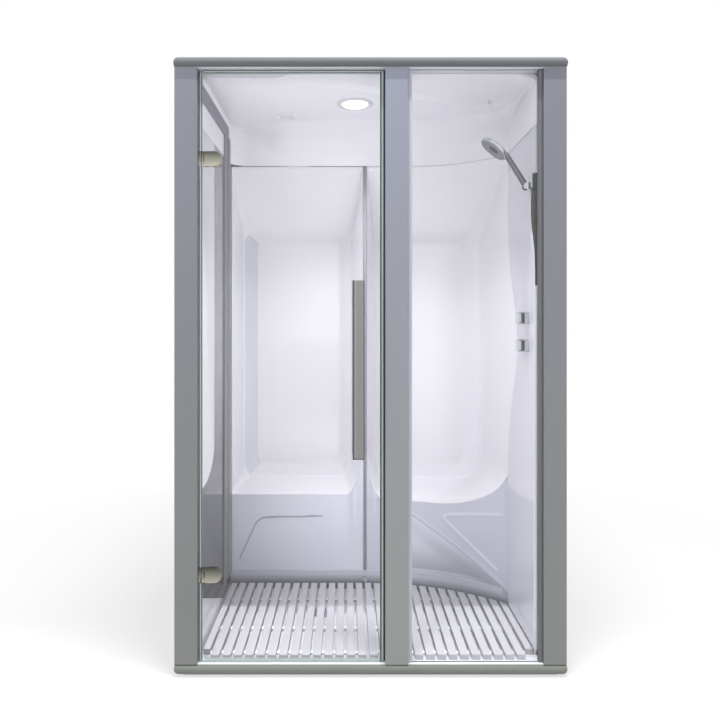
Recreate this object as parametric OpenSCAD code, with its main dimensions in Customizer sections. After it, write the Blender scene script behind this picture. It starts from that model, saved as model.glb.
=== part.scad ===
// Two-seat steam cabin with a hinged glass door, a fixed glass light and a moulded interior.
// Millimetres, +Z up, +X to the right seen from the door, +Y to the back.
// The origin is on the floor under the middle of the base frame.

/* [Overall] */
// Width over the front frame
cab_w = 1330; // [1300:5:1380]
// Depth from the front face of the frame to the back cladding
cab_d = 1100; // [1090:5:1160]
// Height over the top rail
cab_h = 2100; // [2080:5:2160]

/* [Front frame] */
// Face width of the stiles and of the mullion
stile_w = 78; // [70:1:84]
// Depth of the frame profiles
frame_t = 60; // [54:1:70]
// Wall of the hollow frame profiles
profile_wall = 2.5; // [1.5:0.5:4]
// Left edge of the mullion, from the middle of the cabin
mullion_x = 50; // [30:1:70]
// Height of the top rail
top_rail_h = 36; // [30:1:44]
// How far the top rail stands out in front of the stiles
top_rail_out = 12; // [6:1:15]
// Height of the bottom rail
bottom_rail_h = 36; // [28:1:40]
// How far the bottom rail stands out in front of the stiles
bottom_rail_out = 5; // [2:1:10]
// Gap between the floor and the bottom rail
bottom_rail_z = 6; // [5:1:14]
// Corner radius of the frame seen from the front
frame_corner_r = 24; // [12:1:28]
// Depth of the glazing groove in the rails
groove_depth = 10; // [8:1:14]
// Face width of the glazing beads
bead_w = 14; // [10:1:16]

/* [Glass] */
// Thickness of the door and of the fixed light
glass_t = 8; // [6:1:10]
// Depth of the glass centre plane behind the front face
glass_d = 24; // [20:1:30]
// Gap between the door edge and the stile on the hinge side
hinge_gap = 6; // [5:0.5:8]
// Gap between the door and the rails
door_gap = 4; // [3:0.5:6]
// Room for the closing seal between the glass and the mullion
latch_gap = 9; // [7:0.5:12]

/* [Hinges and handle] */
// Height of each hinge
hinge_h = 51; // [44:1:60]
// Length of the hinge clamp from the pin to its round end
hinge_l = 66; // [60:1:90]
// Height of the lower hinge above the floor
hinge_low_z = 338; // [300:1:400]
// Drop of the upper hinge below the top of the frame
hinge_drop = 341; // [300:1:400]
// Distance of the hinge pin from the stile
pin_x = 13.5; // [13.5:0.5:15]
// Radius of the hinge pin
pin_r = 3; // [2.5:0.25:3.5]
// Thickness of each hinge clamp plate
clamp_t = 5; // [4:0.5:5.5]
// Width of the handle bars
handle_w = 40; // [30:1:44]
// Thickness of the handle bars
handle_t = 12; // [8:1:16]
// Length of the handle bars
handle_l = 600; // [450:10:700]
// Height of the middle of the handle
handle_z = 1042; // [950:5:1150]
// Distance from the door's closing edge to the middle of the handle
handle_x = 82; // [70:1:110]
// Clear space between the glass and each handle bar
handle_clear = 40; // [35:1:50]

/* [Base and tray] */
// Height of the base frame over the floor
base_h = 25; // [22:1:30]
// Width of the base frame members
base_bar_w = 40; // [30:1:50]
// Set-back of the base frame from the cabin's outline
base_inset = 30; // [24:1:40]
// Distance of the first cross bar under the tray in front of the drain
cross_bar_space = 120; // [100:5:140]
// Radius of the feet
foot_r = 15; // [12:1:18]
// Ground clearance that the feet give the base frame
foot_out = 2; // [1:0.5:4]
// Wall of the acrylic mouldings
shell_t = 6; // [5:0.5:8]
// Height of the tray rim above the base frame
rim_h = 37; // [34:1:44]
// Height of the tray's rear upstand above the base frame
upstand_h = 87; // [70:1:100]
// Radius of the drain's bore
drain_r = 20; // [16:1:24]
// Drain position from the middle of the cabin
drain_x = -180; // [-240:5:-120]
// Distance of the drain in front of the bench front
drain_back = 248; // [200:5:270]

/* [Duckboards] */
// Width of one slat
slat_w = 28; // [22:1:32]
// Distance between slats
slat_gap = 11; // [8:1:14]
// Thickness of the slats
slat_t = 18; // [14:1:22]
// Thickness of the battens under the slats
batten_t = 11; // [10:1:14]

/* [Interior] */
// Space between the left wall's face and the outside of the cabin
left_space = 75; // [70:1:85]
// Space between the right wall's face and the outside of the cabin
right_space = 89; // [85:1:95]
// Depth of the seats from the bench front to the seat backs
seat_depth = 380; // [350:2:400]
// Space between the seat backs and the outside of the back sheet
back_space = 52; // [44:2:60]
// Seat height above the floor
seat_z = 440; // [400:5:480]
// Radius of the curved bench front
bench_r = 890; // [800:10:1000]
// Drop of the seam between the seats and the ceiling moulding below the ceiling
seam_drop = 162; // [140:2:180]
// Drop of the back panels' top edge below that seam
panel_drop = 274; // [240:2:300]
// Drop of the ceiling below the top of the frame
ceiling_drop = 50; // [46:1:60]
// Radius of the ceiling moulding's right rear corner
dome_r = 446; // [420:2:480]
// Distance of that corner's centre from the right wall
dome_side = 376; // [350:2:400]
// Side taper of the outer ends of the seat backs
niche_side = 27; // [15:1:40]
// Side taper of the seat backs beside the middle joint
niche_mid = 62; // [40:1:80]
// Thickness of the seat supports
rib_t = 15; // [12:1:18]
// Width of the cover strip on the joint between the seats
joint_w = 14; // [10:1:18]

/* [Shower column] */
// Depth of the column's rear edge where it is widest
wave_d = 440; // [420:2:450]
// How far the column's rear edge draws in beside the valves
wave_in = 147; // [120:1:160]
// Height where the column is narrowest
wave_z = 1120; // [1080:5:1160]
// Height over which the column's edge draws in
wave_h = 260; // [220:5:300]
// Depth of the valves behind the front face
valve_d = 150; // [140:2:240]
// Height of the upper valve
mixer_z = 1217; // [1190:1:1240]
// Height of the lower valve
diverter_z = 1118; // [1080:1:1130]
// Width and height of the valve knobs
knob_w = 44; // [40:1:56]
// How far the knobs stand out from the wall
knob_out = 38; // [24:1:42]
// Radius of the valve spindles
spindle_r = 8; // [6:0.5:9]
// Depth of the shower arm behind the front face
arm_d = 95; // [80:1:140]
// Drop of the shower arm's pivot below the top of the frame
arm_drop = 420; // [380:1:440]
// Distance of the arm's pivot from the right wall
arm_out = 24; // [24:1:32]
// Length of the arm from its pivot to the head's joint
arm_l = 140; // [110:1:170]
// Lean of the arm from upright, towards the cabin
arm_lean = 32; // [20:0.5:40]
// Diameter of the shower head
head_dia = 109; // [90:1:130]
// Slope of the shower head's face against level
head_slope = 39; // [30:1:50]
// Thickness of the shower head's rim
head_t = 12; // [9:0.5:16]
// Radius of the water pipes
pipe_r = 7.5; // [6:0.5:9]

/* [Lighting and ventilation] */
// Downlight position from the middle of the cabin
light_x = -48; // [-100:2:0]
// Downlight depth behind the front face
light_d = 326; // [280:2:360]
// Radius of the downlight ring
light_r = 70; // [60:1:80]
// Vent position from the middle of the cabin
vent_x = -327; // [-360:1:-290]
// Vent depth behind the front face
vent_d = 485; // [460:1:510]
// Radius of the vent grille
vent_r = 45; // [40:1:50]
// Radius of the fan's bore
fan_r = 54; // [48:1:56]
// Depth of the fan's front face behind the bench front
fan_back = 52; // [44:2:80]

/* [Steam generator] */
// Radius of the boiler tank
tank_r = 80; // [70:1:90]
// Height of the boiler tank
tank_h = 300; // [260:5:320]
// Distance of the tank's axis from the left wall
tank_side = 150; // [130:5:170]
// Space between the tank's axis and the outside of the back sheet
tank_back = 230; // [220:5:250]
// Radius of the steam pipe
steam_r = 11; // [9:0.5:13]
// Height of the steam outlet
nozzle_z = 76; // [74:1:84]
// Height of the steam pipe's run under the seats
steam_run_z = 400; // [385:1:404]

/* [Cladding] */
// Thickness of the cladding sheets
sheet_t = 4; // [3:0.5:6]
// Section of the rear posts and roof rails
post_w = 30; // [24:1:34]
// Width of the service panel
service_w = 500; // [460:5:520]
// Height of the service panel
service_h = 380; // [340:5:400]
// Radius of the panel screws' heads
screw_r = 5; // [4:0.5:6]
// Height of the lowest screws of the back sheet
screw_z = 500; // [440:10:560]
// Drop of the highest screws of the back sheet below the top of the frame
screw_drop = 250; // [200:10:300]

/* [Hidden] */
$fn = 64;
// Smallest overlap that joins two shapes or clears a cut
eps = 0.5;
// Clearance between a piece and its seat where the two aren't in contact
seat_gap = 0.3;
// Radial running clearance of pins and spindles
run_gap = 0.05;
half_w = cab_w / 2;
left_wall = half_w - left_space;
right_wall = half_w - right_space;
hinge_high_z = cab_h - hinge_drop;
ceiling_z = cab_h - ceiling_drop;
seam_z = ceiling_z - seam_drop;
niche_z = seam_z - panel_drop;
back_d = cab_d - back_space;
bench_d = back_d - seat_depth;
arm_z = cab_h - arm_drop;
fan_d = bench_d + fan_back;
tank_d = cab_d - tank_back;
tank_x = left_wall - tank_side;
drain_d = bench_d - drain_back;
inner_x = half_w - stile_w;
mullion_r = mullion_x + stile_w;
top_rail_z = cab_h - top_rail_h;
bottom_rail_top = bottom_rail_z + bottom_rail_h;
glass_front = glass_d - glass_t / 2;
glass_back = glass_d + glass_t / 2;
door_x0 = -inner_x + hinge_gap;
door_x1 = mullion_x - latch_gap;
door_z0 = bottom_rail_top + door_gap;
door_z1 = top_rail_z - door_gap;
hinge_x = -inner_x + pin_x;
hinge_zs = [hinge_low_z, hinge_high_z];
knuckle_r = 2 * pin_r;
clamp_x = hinge_x + 9;
handle_mid_x = door_x1 - handle_x;
stud_r = 5;
post_r = 8;
tray_z = base_h;
floor_z = base_h + shell_t;
base_x = half_w - base_inset;
base_d0 = 14;
base_d1 = cab_d - sheet_t - 10;
screw_rows = 4;
screw_step = (cab_h - screw_drop - screw_z) / (screw_rows - 1);
bar_d = [drain_d - cross_bar_space, cab_d / 2, bench_d + 20, tank_d, back_d - 40];
slat_pitch = slat_w + slat_gap;
slat_count = floor((left_wall + right_wall + slat_gap) / (2 * slat_pitch));
board_w = slat_count * slat_pitch - slat_gap;
board_mid = (right_wall - left_wall) / 2;
slat_z = floor_z + batten_t;
batten_ds = [90, (bench_d - 120) / 2, bench_d - 138];
batten_w = 22;
tray_gap = 8;
drain_throat_r = drain_r - 3;
drain_lip = 8;
arc_d = bench_d - bench_r;
dome_d = bench_d + 2 - dome_r;
dome_x = right_wall - dome_side;
inner_front = frame_t + 2;
lining_top = ceiling_z - 72;
rear_upright_w = 170;
seat_under = seat_z - shell_t;
soffit_t = shell_t * 1.25;
niche_top = seam_z - soffit_t - seat_gap;
post_d = cab_d - sheet_t - seat_gap - post_w;
roof_z = cab_h - 10;
rib_xs = [-left_wall + 15, -left_wall + 290, -25, 25, right_wall - 276, right_wall - 16];
rib_d0 = bench_d + 22;
rib_d1 = back_d - 8;
pivot_x = right_wall - arm_out;
head_x = pivot_x - arm_l * sin(arm_lean);
head_z = arm_z + arm_l * cos(arm_lean);
head_in = 0.35 * head_dia;
head_low = 1.6 * head_t;
bracket_w = head_dia / 2;
bracket_h = head_dia / 2 + 4;
bracket_t = arm_out - 14;
duct_h = 30;
plate_t = 3;
plate_front = 80;
plate_rear = 102;
plate_over = 71;
valve_x = right_wall + shell_t + 10;
valve_over = 26;
valve_t = 40;
pipe_x = valve_x + valve_t / 2;
pipe_low_z = 6 * base_h;
pipe_side = 2 * pipe_r;
pipe_end = 60;
inlet_z = arm_z + 16;
service_x = -base_x + 75;
service_z = 50;
tank_z = base_h;
boiler_top = tank_z + tank_h;
element_port_r = tank_r / 4;
element_r = tank_r / 20;
loop_r = 3 * element_r;
loop_z = tank_z + 0.3 * tank_h;
valve_z = tank_z + 50;
lever_d = tank_d + tank_r + 42;
box_x = rib_xs[1] + rib_t / 2;
box_w = 120;
box_d = cab_d - 200;
box_len = 120;
box_z = 180;
box_h = 150;

// Shared shapes

// Moves depth behind the front face to the cabin's own frame
module in_cabin() {
    translate([0, -cab_d / 2, 0])
        children();
}

// Box from its low corner to its high corner
module span(low, high) {
    translate(low)
        cube(high - low);
}

// Rectangle with round corners, from the origin
module round_rect(w, h, r) {
    translate([r, 0])
        square([w - 2 * r, h]);
    translate([0, r])
        square([w, h - 2 * r]);
    for (x = [r, w - r], y = [r, h - r])
        translate([x, y])
            circle(r = r);
}

// Hollow upright profile between the two rails
module upright(x) {
    translate([x, 0, bottom_rail_top])
        linear_extrude(top_rail_z - bottom_rail_top)
            difference() {
                round_rect(stile_w, frame_t, 3);
                translate([profile_wall, profile_wall])
                    square([stile_w - 2 * profile_wall, frame_t - 2 * profile_wall]);
            }
}

// Rail with a round nose, cut to the frame's rounded outline
module nosed_rail(z, h, out, outline_z) {
    nose = h / 2;
    intersection() {
        translate([-half_w, 0, z])
            rotate([90, 0, 90])
                linear_extrude(cab_w) {
                    translate([nose - out, nose])
                        circle(r = nose);
                    translate([nose - out, 0])
                        square([frame_t - nose + out, h]);
                }
        translate([-half_w, frame_t, outline_z])
            rotate([90, 0, 0])
                linear_extrude(frame_t + 2 * out)
                    round_rect(cab_w, 4 * frame_corner_r, frame_corner_r);
    }
}

// Slot along a rail for the edge of the fixed light
module glazing_groove(z) {
    span([mullion_r, glass_front - seat_gap, z],
         [inner_x, glass_back + seat_gap, z + groove_depth]);
}

// Round rod between two points on a straight line
module rod(from, to, r) {
    v = to - from;
    len = norm(v);
    translate(from)
        rotate([0, acos(v.z / len), atan2(v.y, v.x)])
            cylinder(h = len, r = r);
}

// Pipe along a list of points, with ball corners
module pipe_run(points, r) {
    for (i = [0:len(points) - 2])
        rod(points[i], points[i + 1], r);
    if (len(points) > 2)
        for (i = [1:len(points) - 2])
            translate(points[i])
                sphere(r = r);
}

// Plan of the floor, drawn in by a margin on every side
module floor_plan(margin) {
    intersection() {
        translate([-left_wall - shell_t + margin, inner_front + margin])
            square([left_wall + right_wall + 2 * shell_t - 2 * margin,
                    bench_d - inner_front - 2 * margin]);
        union() {
            translate([-left_wall - shell_t, inner_front])
                square([left_wall + shell_t + eps, bench_d]);
            translate([0, arc_d])
                circle(r = bench_r - seat_gap - margin, $fn = 180);
        }
    }
}

// Plan of the ceiling moulding, grown by a margin on every side
module dome_plan(margin) {
    intersection() {
        translate([-left_wall - margin, inner_front])
            square([left_wall + right_wall + 2 * margin, bench_d - inner_front - seat_gap - shell_t + margin]);
        union() {
            translate([-left_wall - margin, inner_front])
                square([left_wall + dome_x + margin, bench_d]);
            translate([-left_wall - margin, inner_front])
                square([left_wall + right_wall + 2 * margin, dome_d - inner_front]);
            translate([dome_x, dome_d])
                circle(r = dome_r - shell_t + margin, $fn = 120);
        }
    }
}

// Side section of the seat hollow, grown by the wall below, behind and above
module niche_section(from_d, grow, rise) {
    rotate([90, 0, 90])
        linear_extrude(cab_w, center = true)
            polygon([[from_d, seat_z - grow], [back_d + grow, seat_z - grow],
                     [back_d + grow, niche_z + rise], [bench_d, niche_top + rise],
                     [from_d, niche_top + rise]]);
}

// Left seat hollow, or its outside when grown
module left_niche(grow, rise) {
    intersection() {
        linear_extrude(cab_h)
            polygon([[-left_wall - grow, bench_d], [-left_wall + niche_side - grow, back_d + grow],
                     [-joint_w / 2 - 1 - niche_mid + grow, back_d + grow],
                     [-joint_w / 2 - 1 + grow, bench_d]]);
        niche_section(bench_d, grow, rise);
    }
}

// Right seat hollow, or its outside when grown; it runs forward along the right wall
module right_niche(grow, rise) {
    intersection() {
        linear_extrude(cab_h)
            polygon([[joint_w / 2 + 1 - grow, bench_d],
                     [joint_w / 2 + 1 + niche_mid - grow, back_d + grow],
                     [right_wall - 2 * niche_side + grow, back_d + grow],
                     [right_wall + grow, back_d - 2 * niche_side],
                     [right_wall + grow, wave_d - wave_in - eps],
                     [joint_w / 2 + 1 - grow, wave_d - wave_in - eps]]);
        niche_section(wave_d - wave_in - eps, grow, rise);
    }
}

// Depth of the shower column's rear edge at a height
function wave(z) = wave_d - wave_in * exp(-pow((z - wave_z) / wave_h, 2));

// Everything in front of the shower column's rear edge, moved back by a margin
module before_wave(margin) {
    steps = 36;
    rotate([90, 0, 90])
        linear_extrude(half_w)
            polygon(concat([for (i = [0:steps])
                               let (z = seam_z * i / steps + 2 * eps * (i == steps ? 1 : 0))
                               [wave(z) + margin, z]],
                           [[0, seam_z + 2 * eps], [0, 0]]));
}

// Front frame

module base_frame() color("dimgray") in_cabin() {
    difference() {
        union() {
            for (s = [-1, 1])
                span([min(s * base_x, s * (base_x - base_bar_w)), base_d0, foot_out],
                     [max(s * base_x, s * (base_x - base_bar_w)), base_d1, base_h]);
            for (d = [base_d0, base_d1 - base_bar_w])
                span([-base_x, d, foot_out], [base_x, d + base_bar_w, base_h]);
            for (d = bar_d)
                span([-base_x, d - base_bar_w / 2, foot_out], [base_x, d + base_bar_w / 2, base_h]);
        }
        foot_places()
            cylinder(h = base_h / 2, r = foot_r + 1);
        foot_places()
            cylinder(h = base_h * 2, r = 4 + run_gap);
    }
}

// The places of the feet: six round the edge and one under the middle
module foot_places() {
    for (x = [-1, 0, 1], d = [base_d0 + base_bar_w / 2, base_d1 - base_bar_w / 2])
        translate([x * (base_x - base_bar_w / 2), d, 0])
            children();
    translate([0, cab_d / 2, 0])
        children();
}

module levelling_feet() color("black") in_cabin() {
    foot_places() {
        cylinder(h = 6, r = foot_r);
        cylinder(h = base_h - 1, r = 4);
    }
}

module left_stile() color("lightslategray") in_cabin() {
    upright(-half_w);
}

module right_stile() color("lightslategray") in_cabin() {
    upright(inner_x);
}

module mullion() color("lightslategray") in_cabin() {
    upright(mullion_x);
}

module top_rail() color("slategray") in_cabin() {
    difference() {
        nosed_rail(top_rail_z, top_rail_h, top_rail_out, cab_h - 4 * frame_corner_r);
        glazing_groove(top_rail_z);
    }
}

module bottom_rail() color("slategray") in_cabin() {
    difference() {
        nosed_rail(bottom_rail_z, bottom_rail_h, bottom_rail_out, bottom_rail_z);
        glazing_groove(bottom_rail_top - groove_depth);
        span([-base_x - 1, base_d0 - 1, 0], [base_x + 1, frame_t + eps, base_h + seat_gap]);
    }
}

module glazing_beads() color("silver") in_cabin() {
    for (side = [0, 1])
        difference() {
            span([side == 0 ? mullion_r : inner_x - bead_w, glass_front - 6, bottom_rail_top],
                 [side == 0 ? mullion_r + bead_w : inner_x, glass_back + 6, top_rail_z]);
            span([mullion_r + 4, glass_front - seat_gap, 0], [inner_x - 4, glass_back + seat_gap, cab_h]);
        }
}

module fixed_glass() color("lightcyan", 0.4) in_cabin() {
    span([mullion_r + 4 + seat_gap, glass_front, bottom_rail_top - groove_depth + seat_gap],
         [inner_x - 4 - seat_gap, glass_back, top_rail_z + groove_depth - 3]);
}

module door_stop() color("gray") in_cabin() {
    span([door_x1 + 1, glass_back + 4, bottom_rail_top], [mullion_x, glass_back + 12, top_rail_z]);
}

// Door

module door_glass() color("lightcyan", 0.4) in_cabin() {
    difference() {
        span([door_x0, glass_front, door_z0], [door_x1, glass_back, door_z1]);
        for (z = hinge_zs)
            span([door_x0 - 1, 0, z - hinge_h / 2 - 1], [clamp_x + 12, frame_t, z + hinge_h / 2 + 1]);
        handle_posts()
            cylinder(h = glass_t * 4, r = stud_r + 1, center = true);
    }
}

// The two post axes of the handle, along the depth at the glass centre plane
module handle_posts() {
    for (s = [-1, 1])
        translate([handle_mid_x, glass_d, handle_z + s * (handle_l / 2 - 75)])
            rotate([-90, 0, 0])
                children();
}

module door_seals() color("darkslategray") in_cabin() {
    difference() {
        union() {
            span([door_x1 - 8, glass_front - 3, door_z0], [mullion_x - 2, glass_back + 3, door_z1]);
            span([clamp_x, glass_front - 2, door_z1 - 7], [door_x1 - 8 - seat_gap, glass_back + 2, door_z1 + 3]);
            span([clamp_x, glass_front - 3, bottom_rail_top + 1.5], [door_x1 - 8 - seat_gap, glass_back + 3, door_z0 + 8]);
            span([door_x0 - 4, glass_front - 2, hinge_low_z + hinge_h / 2 + 2],
                 [door_x0 + 7, glass_back + 2, hinge_high_z - hinge_h / 2 - 2]);
            span([door_x0 - 4, glass_front - 2, door_z0], [door_x0 + 7, glass_back + 2, hinge_low_z - hinge_h / 2 - 2]);
            span([door_x0 - 4, glass_front - 2, hinge_high_z + hinge_h / 2 + 2], [door_x0 + 7, glass_back + 2, door_z1]);
        }
        span([door_x0 - seat_gap, glass_front - run_gap, door_z0 - seat_gap],
             [door_x1 + seat_gap, glass_back + run_gap, door_z1 + seat_gap]);
    }
}

module hinge_blocks() color("silver") in_cabin() {
    for (z = hinge_zs)
        translate([hinge_x, glass_d, z])
            difference() {
                union() {
                    translate([0, 0, -hinge_h / 6])
                        cylinder(h = hinge_h / 3, r = knuckle_r);
                    span([-pin_x, -6, -hinge_h / 2], [-knuckle_r - 1.5, 6, hinge_h / 2]);
                    span([-pin_x, -4, -hinge_h / 6], [0, 4, hinge_h / 6]);
                }
                cylinder(h = hinge_h, r = pin_r, center = true);
            }
}

module hinge_clamps() color("silver") in_cabin() {
    plate_gap = glass_t / 2 + seat_gap;
    for (z = hinge_zs)
        translate([hinge_x, glass_d, z])
            difference() {
                union() {
                    for (s = [-1, 1]) {
                        translate([0, s > 0 ? plate_gap + clamp_t : -plate_gap, 0])
                            rotate([90, 0, 0])
                                linear_extrude(clamp_t)
                                    clamp_outline();
                        translate([0, 0, s > 0 ? hinge_h / 6 + seat_gap : -hinge_h / 2])
                            cylinder(h = hinge_h / 3 - seat_gap, r = knuckle_r);
                        span([0, -4, s > 0 ? hinge_h / 6 + seat_gap : -hinge_h / 2],
                             [12, 4, s > 0 ? hinge_h / 2 : -hinge_h / 6 - seat_gap]);
                    }
                    span([9, -plate_gap, -hinge_h / 2], [20, plate_gap, hinge_h / 2]);
                }
                cylinder(h = hinge_h + 1, r = pin_r + run_gap, center = true);
            }
}

// Hinge clamp seen from the front: straight at the pin, round at the far end
module clamp_outline() {
    translate([9, -hinge_h / 2])
        square([hinge_l - 9 - hinge_h / 2, hinge_h]);
    translate([hinge_l - hinge_h / 2, 0])
        circle(r = hinge_h / 2);
}

module hinge_pins() color("dimgray") in_cabin() {
    for (z = hinge_zs)
        translate([hinge_x, glass_d, z])
            cylinder(h = hinge_h, r = pin_r, center = true);
}

module door_handle() color("darkgray") in_cabin() {
    reach = glass_t / 2 + handle_clear;
    for (s = [-1, 1])
        difference() {
            union() {
                translate([handle_mid_x - handle_w / 2, glass_d + (s > 0 ? reach : -reach - handle_t), handle_z - handle_l / 2])
                    linear_extrude(handle_l)
                        round_rect(handle_w, handle_t, 2);
                handle_posts()
                    translate([0, 0, s > 0 ? glass_t / 2 : -reach - 1])
                        cylinder(h = handle_clear + 1, r = post_r);
                if (s < 0)
                    handle_posts()
                        translate([0, 0, -reach])
                            cylinder(h = reach + glass_t / 2 + handle_clear / 2, r = stud_r);
            }
            if (s > 0)
                handle_posts()
                    cylinder(h = glass_t / 2 + handle_clear / 2 + 1, r = stud_r + run_gap);
        }
}

// Interior walls

module left_lining() color("lightgray") in_cabin() {
    span([-left_wall - shell_t, inner_front, base_h + rim_h], [-left_wall, bench_d - 1, lining_top]);
}

module lining_frame() color("gray") in_cabin() {
    span([-left_wall, inner_front, lining_top], [-left_wall + shell_t, bench_d - shell_t - 1, ceiling_z]);
    span([-left_wall, bench_d - rear_upright_w, base_h + upstand_h], [-left_wall + shell_t, bench_d - shell_t - 1, lining_top + eps]);
}

module left_seat() color("white") in_cabin() {
    difference() {
        left_niche(shell_t, soffit_t);
        left_niche(0, 0);
    }
    difference() {
        span([-left_wall - shell_t, bench_d, base_h], [-1, bench_d + shell_t, seat_under + eps]);
        nozzle_hole();
    }
}

// Clearance hole for the steam outlet through the bench fronts and the upstand
module nozzle_hole() {
    translate([0, bench_d, nozzle_z])
        rotate([90, 0, 0])
            cylinder(h = 40, r = steam_r - 2, center = true);
}

module right_seat() color("white") in_cabin() {
    difference() {
        right_niche(shell_t, soffit_t);
        right_niche(0, 0);
        before_bench();
        before_wave(1);
    }
    difference() {
        intersection() {
            translate([0, arc_d, base_h])
                linear_extrude(seat_under + eps - base_h)
                    difference() {
                        circle(r = bench_r + shell_t, $fn = 180);
                        circle(r = bench_r, $fn = 180);
                    }
            span([1, 0, 0], [right_wall + shell_t, cab_d, seat_z]);
        }
        nozzle_hole();
    }
}

// The standing room in front of the curved bench, short of the right wall
module before_bench() {
    intersection() {
        translate([0, arc_d, 0])
            cylinder(h = cab_h, r = bench_r, $fn = 180);
        span([0, 0, 0], [right_wall, cab_d, cab_h]);
    }
}

module joint_strip() color("whitesmoke") in_cabin() {
    translate([-joint_w / 2, bench_d - shell_t, base_h + upstand_h])
        linear_extrude(seam_z - base_h - upstand_h - 1)
            round_rect(joint_w, shell_t - seat_gap, 2.5);
}

module seat_ribs() color("burlywood") in_cabin() {
    for (i = [0:len(rib_xs) - 1])
        difference() {
            span([rib_xs[i] - rib_t / 2, rib_d0, base_h], [rib_xs[i] + rib_t / 2, rib_d1, seat_under]);
            if (i == 1 || i == 2)
                translate([rib_xs[i], tank_d, steam_run_z])
                    rotate([0, 90, 0])
                        cylinder(h = rib_t * 2, r = steam_r + 2, center = true);
        }
}

module shower_column() color("white") in_cabin() {
    difference() {
        intersection() {
            union() {
                span([right_wall, inner_front, base_h + rim_h], [right_wall + shell_t, bench_d, seam_z - 1]);
                span([right_wall - plate_t, valve_d - plate_front, diverter_z - plate_over],
                     [right_wall + shell_t, valve_d + plate_rear, mixer_z + plate_over]);
            }
            before_wave(-1);
        }
        for (z = [mixer_z, diverter_z])
            translate([right_wall - 10, valve_d, z])
                rotate([0, 90, 0])
                    cylinder(h = 30, r = spindle_r + 1);
        translate([right_wall - 10, arm_d, inlet_z])
            rotate([0, 90, 0])
                cylinder(h = 30, r = pipe_r + 1);
    }
}

module ceiling_dome() color("white") in_cabin() {
    difference() {
        translate([0, 0, seam_z])
            linear_extrude(ceiling_z + shell_t - seam_z)
                dome_plan(shell_t - seat_gap);
        translate([0, 0, seam_z - 1])
            linear_extrude(ceiling_z - seam_z + 1)
                dome_plan(0);
        span([-half_w, 0, 0], [-left_wall + eps, bench_d, lining_top + seat_gap]);
        translate([light_x, light_d, ceiling_z - 1])
            cylinder(h = shell_t + 2, r = light_r - 11);
        translate([vent_x, vent_d, ceiling_z - 1])
            cylinder(h = shell_t + 2, r = vent_r - 8);
    }
}

// Floor

module tray() color("white") in_cabin() {
    difference() {
        translate([0, 0, tray_z])
            linear_extrude(upstand_h)
                floor_plan(0);
        translate([0, 0, floor_z])
            linear_extrude(upstand_h)
                floor_plan(shell_t);
        span([-half_w, 0, tray_z + rim_h], [half_w, wave(base_h + rim_h) + 1, cab_h]);
        span([-half_w, 0, tray_z + rim_h], [-left_wall, bench_d, cab_h]);
        span([-half_w, 0, bottom_rail_top - seat_gap], [half_w, inner_front + shell_t + tray_gap, cab_h]);
        translate([drain_x, drain_d, 0])
            cylinder(h = floor_z * 2, r = drain_r + 5);
        nozzle_hole();
    }
}

module drain_flange() color("silver") in_cabin() {
    translate([drain_x, drain_d, 0])
        difference() {
            union() {
                translate([0, 0, foot_out])
                    cylinder(h = floor_z + 2 - foot_out, r = drain_r + 4);
                translate([0, 0, floor_z])
                    cylinder(h = 2, r = drain_r * 2);
            }
            cylinder(h = floor_z - drain_lip, r = drain_r);
            cylinder(h = floor_z * 2, r = drain_throat_r);
        }
}

module drain_cover() color("silver") in_cabin() {
    translate([drain_x, drain_d, floor_z + 2])
        difference() {
            union() {
                cylinder(h = 2.5, r = drain_r * 2 - 2);
                translate([0, 0, -4])
                    cylinder(h = 5, r = drain_throat_r - 1);
            }
            translate([0, 0, -5])
                cylinder(h = 5, r = drain_throat_r - 3);
            for (a = [0:60:300])
                rotate(a)
                    translate([drain_throat_r / 4, -2, -6])
                        cube([drain_throat_r / 2, 4, 12]);
        }
}

// Slats of one board: first is the number of its left slat. Those that clear the swinging door and
// the beads run on over the bottom rail to the glass
module board_slats(first) {
    translate([0, 0, slat_z])
        linear_extrude(slat_t)
            for (i = [first:first + slat_count - 1]) {
                x = board_mid - board_w - slat_gap / 2 + i * slat_pitch;
                intersection() {
                    translate([x, glass_back + tray_gap])
                        square([slat_w, bench_d - glass_back - tray_gap]);
                    union() {
                        floor_plan(shell_t + tray_gap);
                        if (fits(x, hinge_x + 3 * tray_gap, door_x1 - tray_gap)
                            || fits(x, mullion_r + bead_w, inner_x - bead_w))
                            translate([x, 0])
                                square([slat_w, inner_front + shell_t + 2 * tray_gap]);
                    }
                }
            }
}

// Whether a slat with its left side at x lies clear between x0 and x1
function fits(x, x0, x1) = x - 2 >= x0 && x + slat_w + 2 <= x1;

// Battens of one board, a little short of its outer slats
module board_battens(first) {
    x0 = board_mid - board_w - slat_gap / 2 + first * slat_pitch;
    translate([0, 0, floor_z])
        linear_extrude(batten_t)
            intersection() {
                for (d = batten_ds)
                    translate([x0 + 4, d - batten_w / 2])
                        square([board_w - 8, batten_w]);
                floor_plan(shell_t + tray_gap + 4);
            }
}

module left_slats() color("whitesmoke") in_cabin() {
    board_slats(0);
}

module left_battens() color("lightgray") in_cabin() {
    board_battens(0);
}

module right_slats() color("whitesmoke") in_cabin() {
    board_slats(slat_count);
}

module right_battens() color("lightgray") in_cabin() {
    board_battens(slat_count);
}

// Light and ventilation

module downlight_body() color("silver") in_cabin() {
    translate([light_x, light_d, ceiling_z])
        difference() {
            cylinder(h = roof_z - ceiling_z - 6, r = light_r - 12);
            translate([0, 0, -1])
                cylinder(h = roof_z - ceiling_z - 8, r = light_r - 15);
        }
}

module downlight_ring() color("white") in_cabin() {
    translate([light_x, light_d, ceiling_z])
        rotate_extrude()
            polygon([[light_r - 16, 0], [light_r, 0], [light_r - 4, -6], [light_r - 16, -4]]);
}

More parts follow.
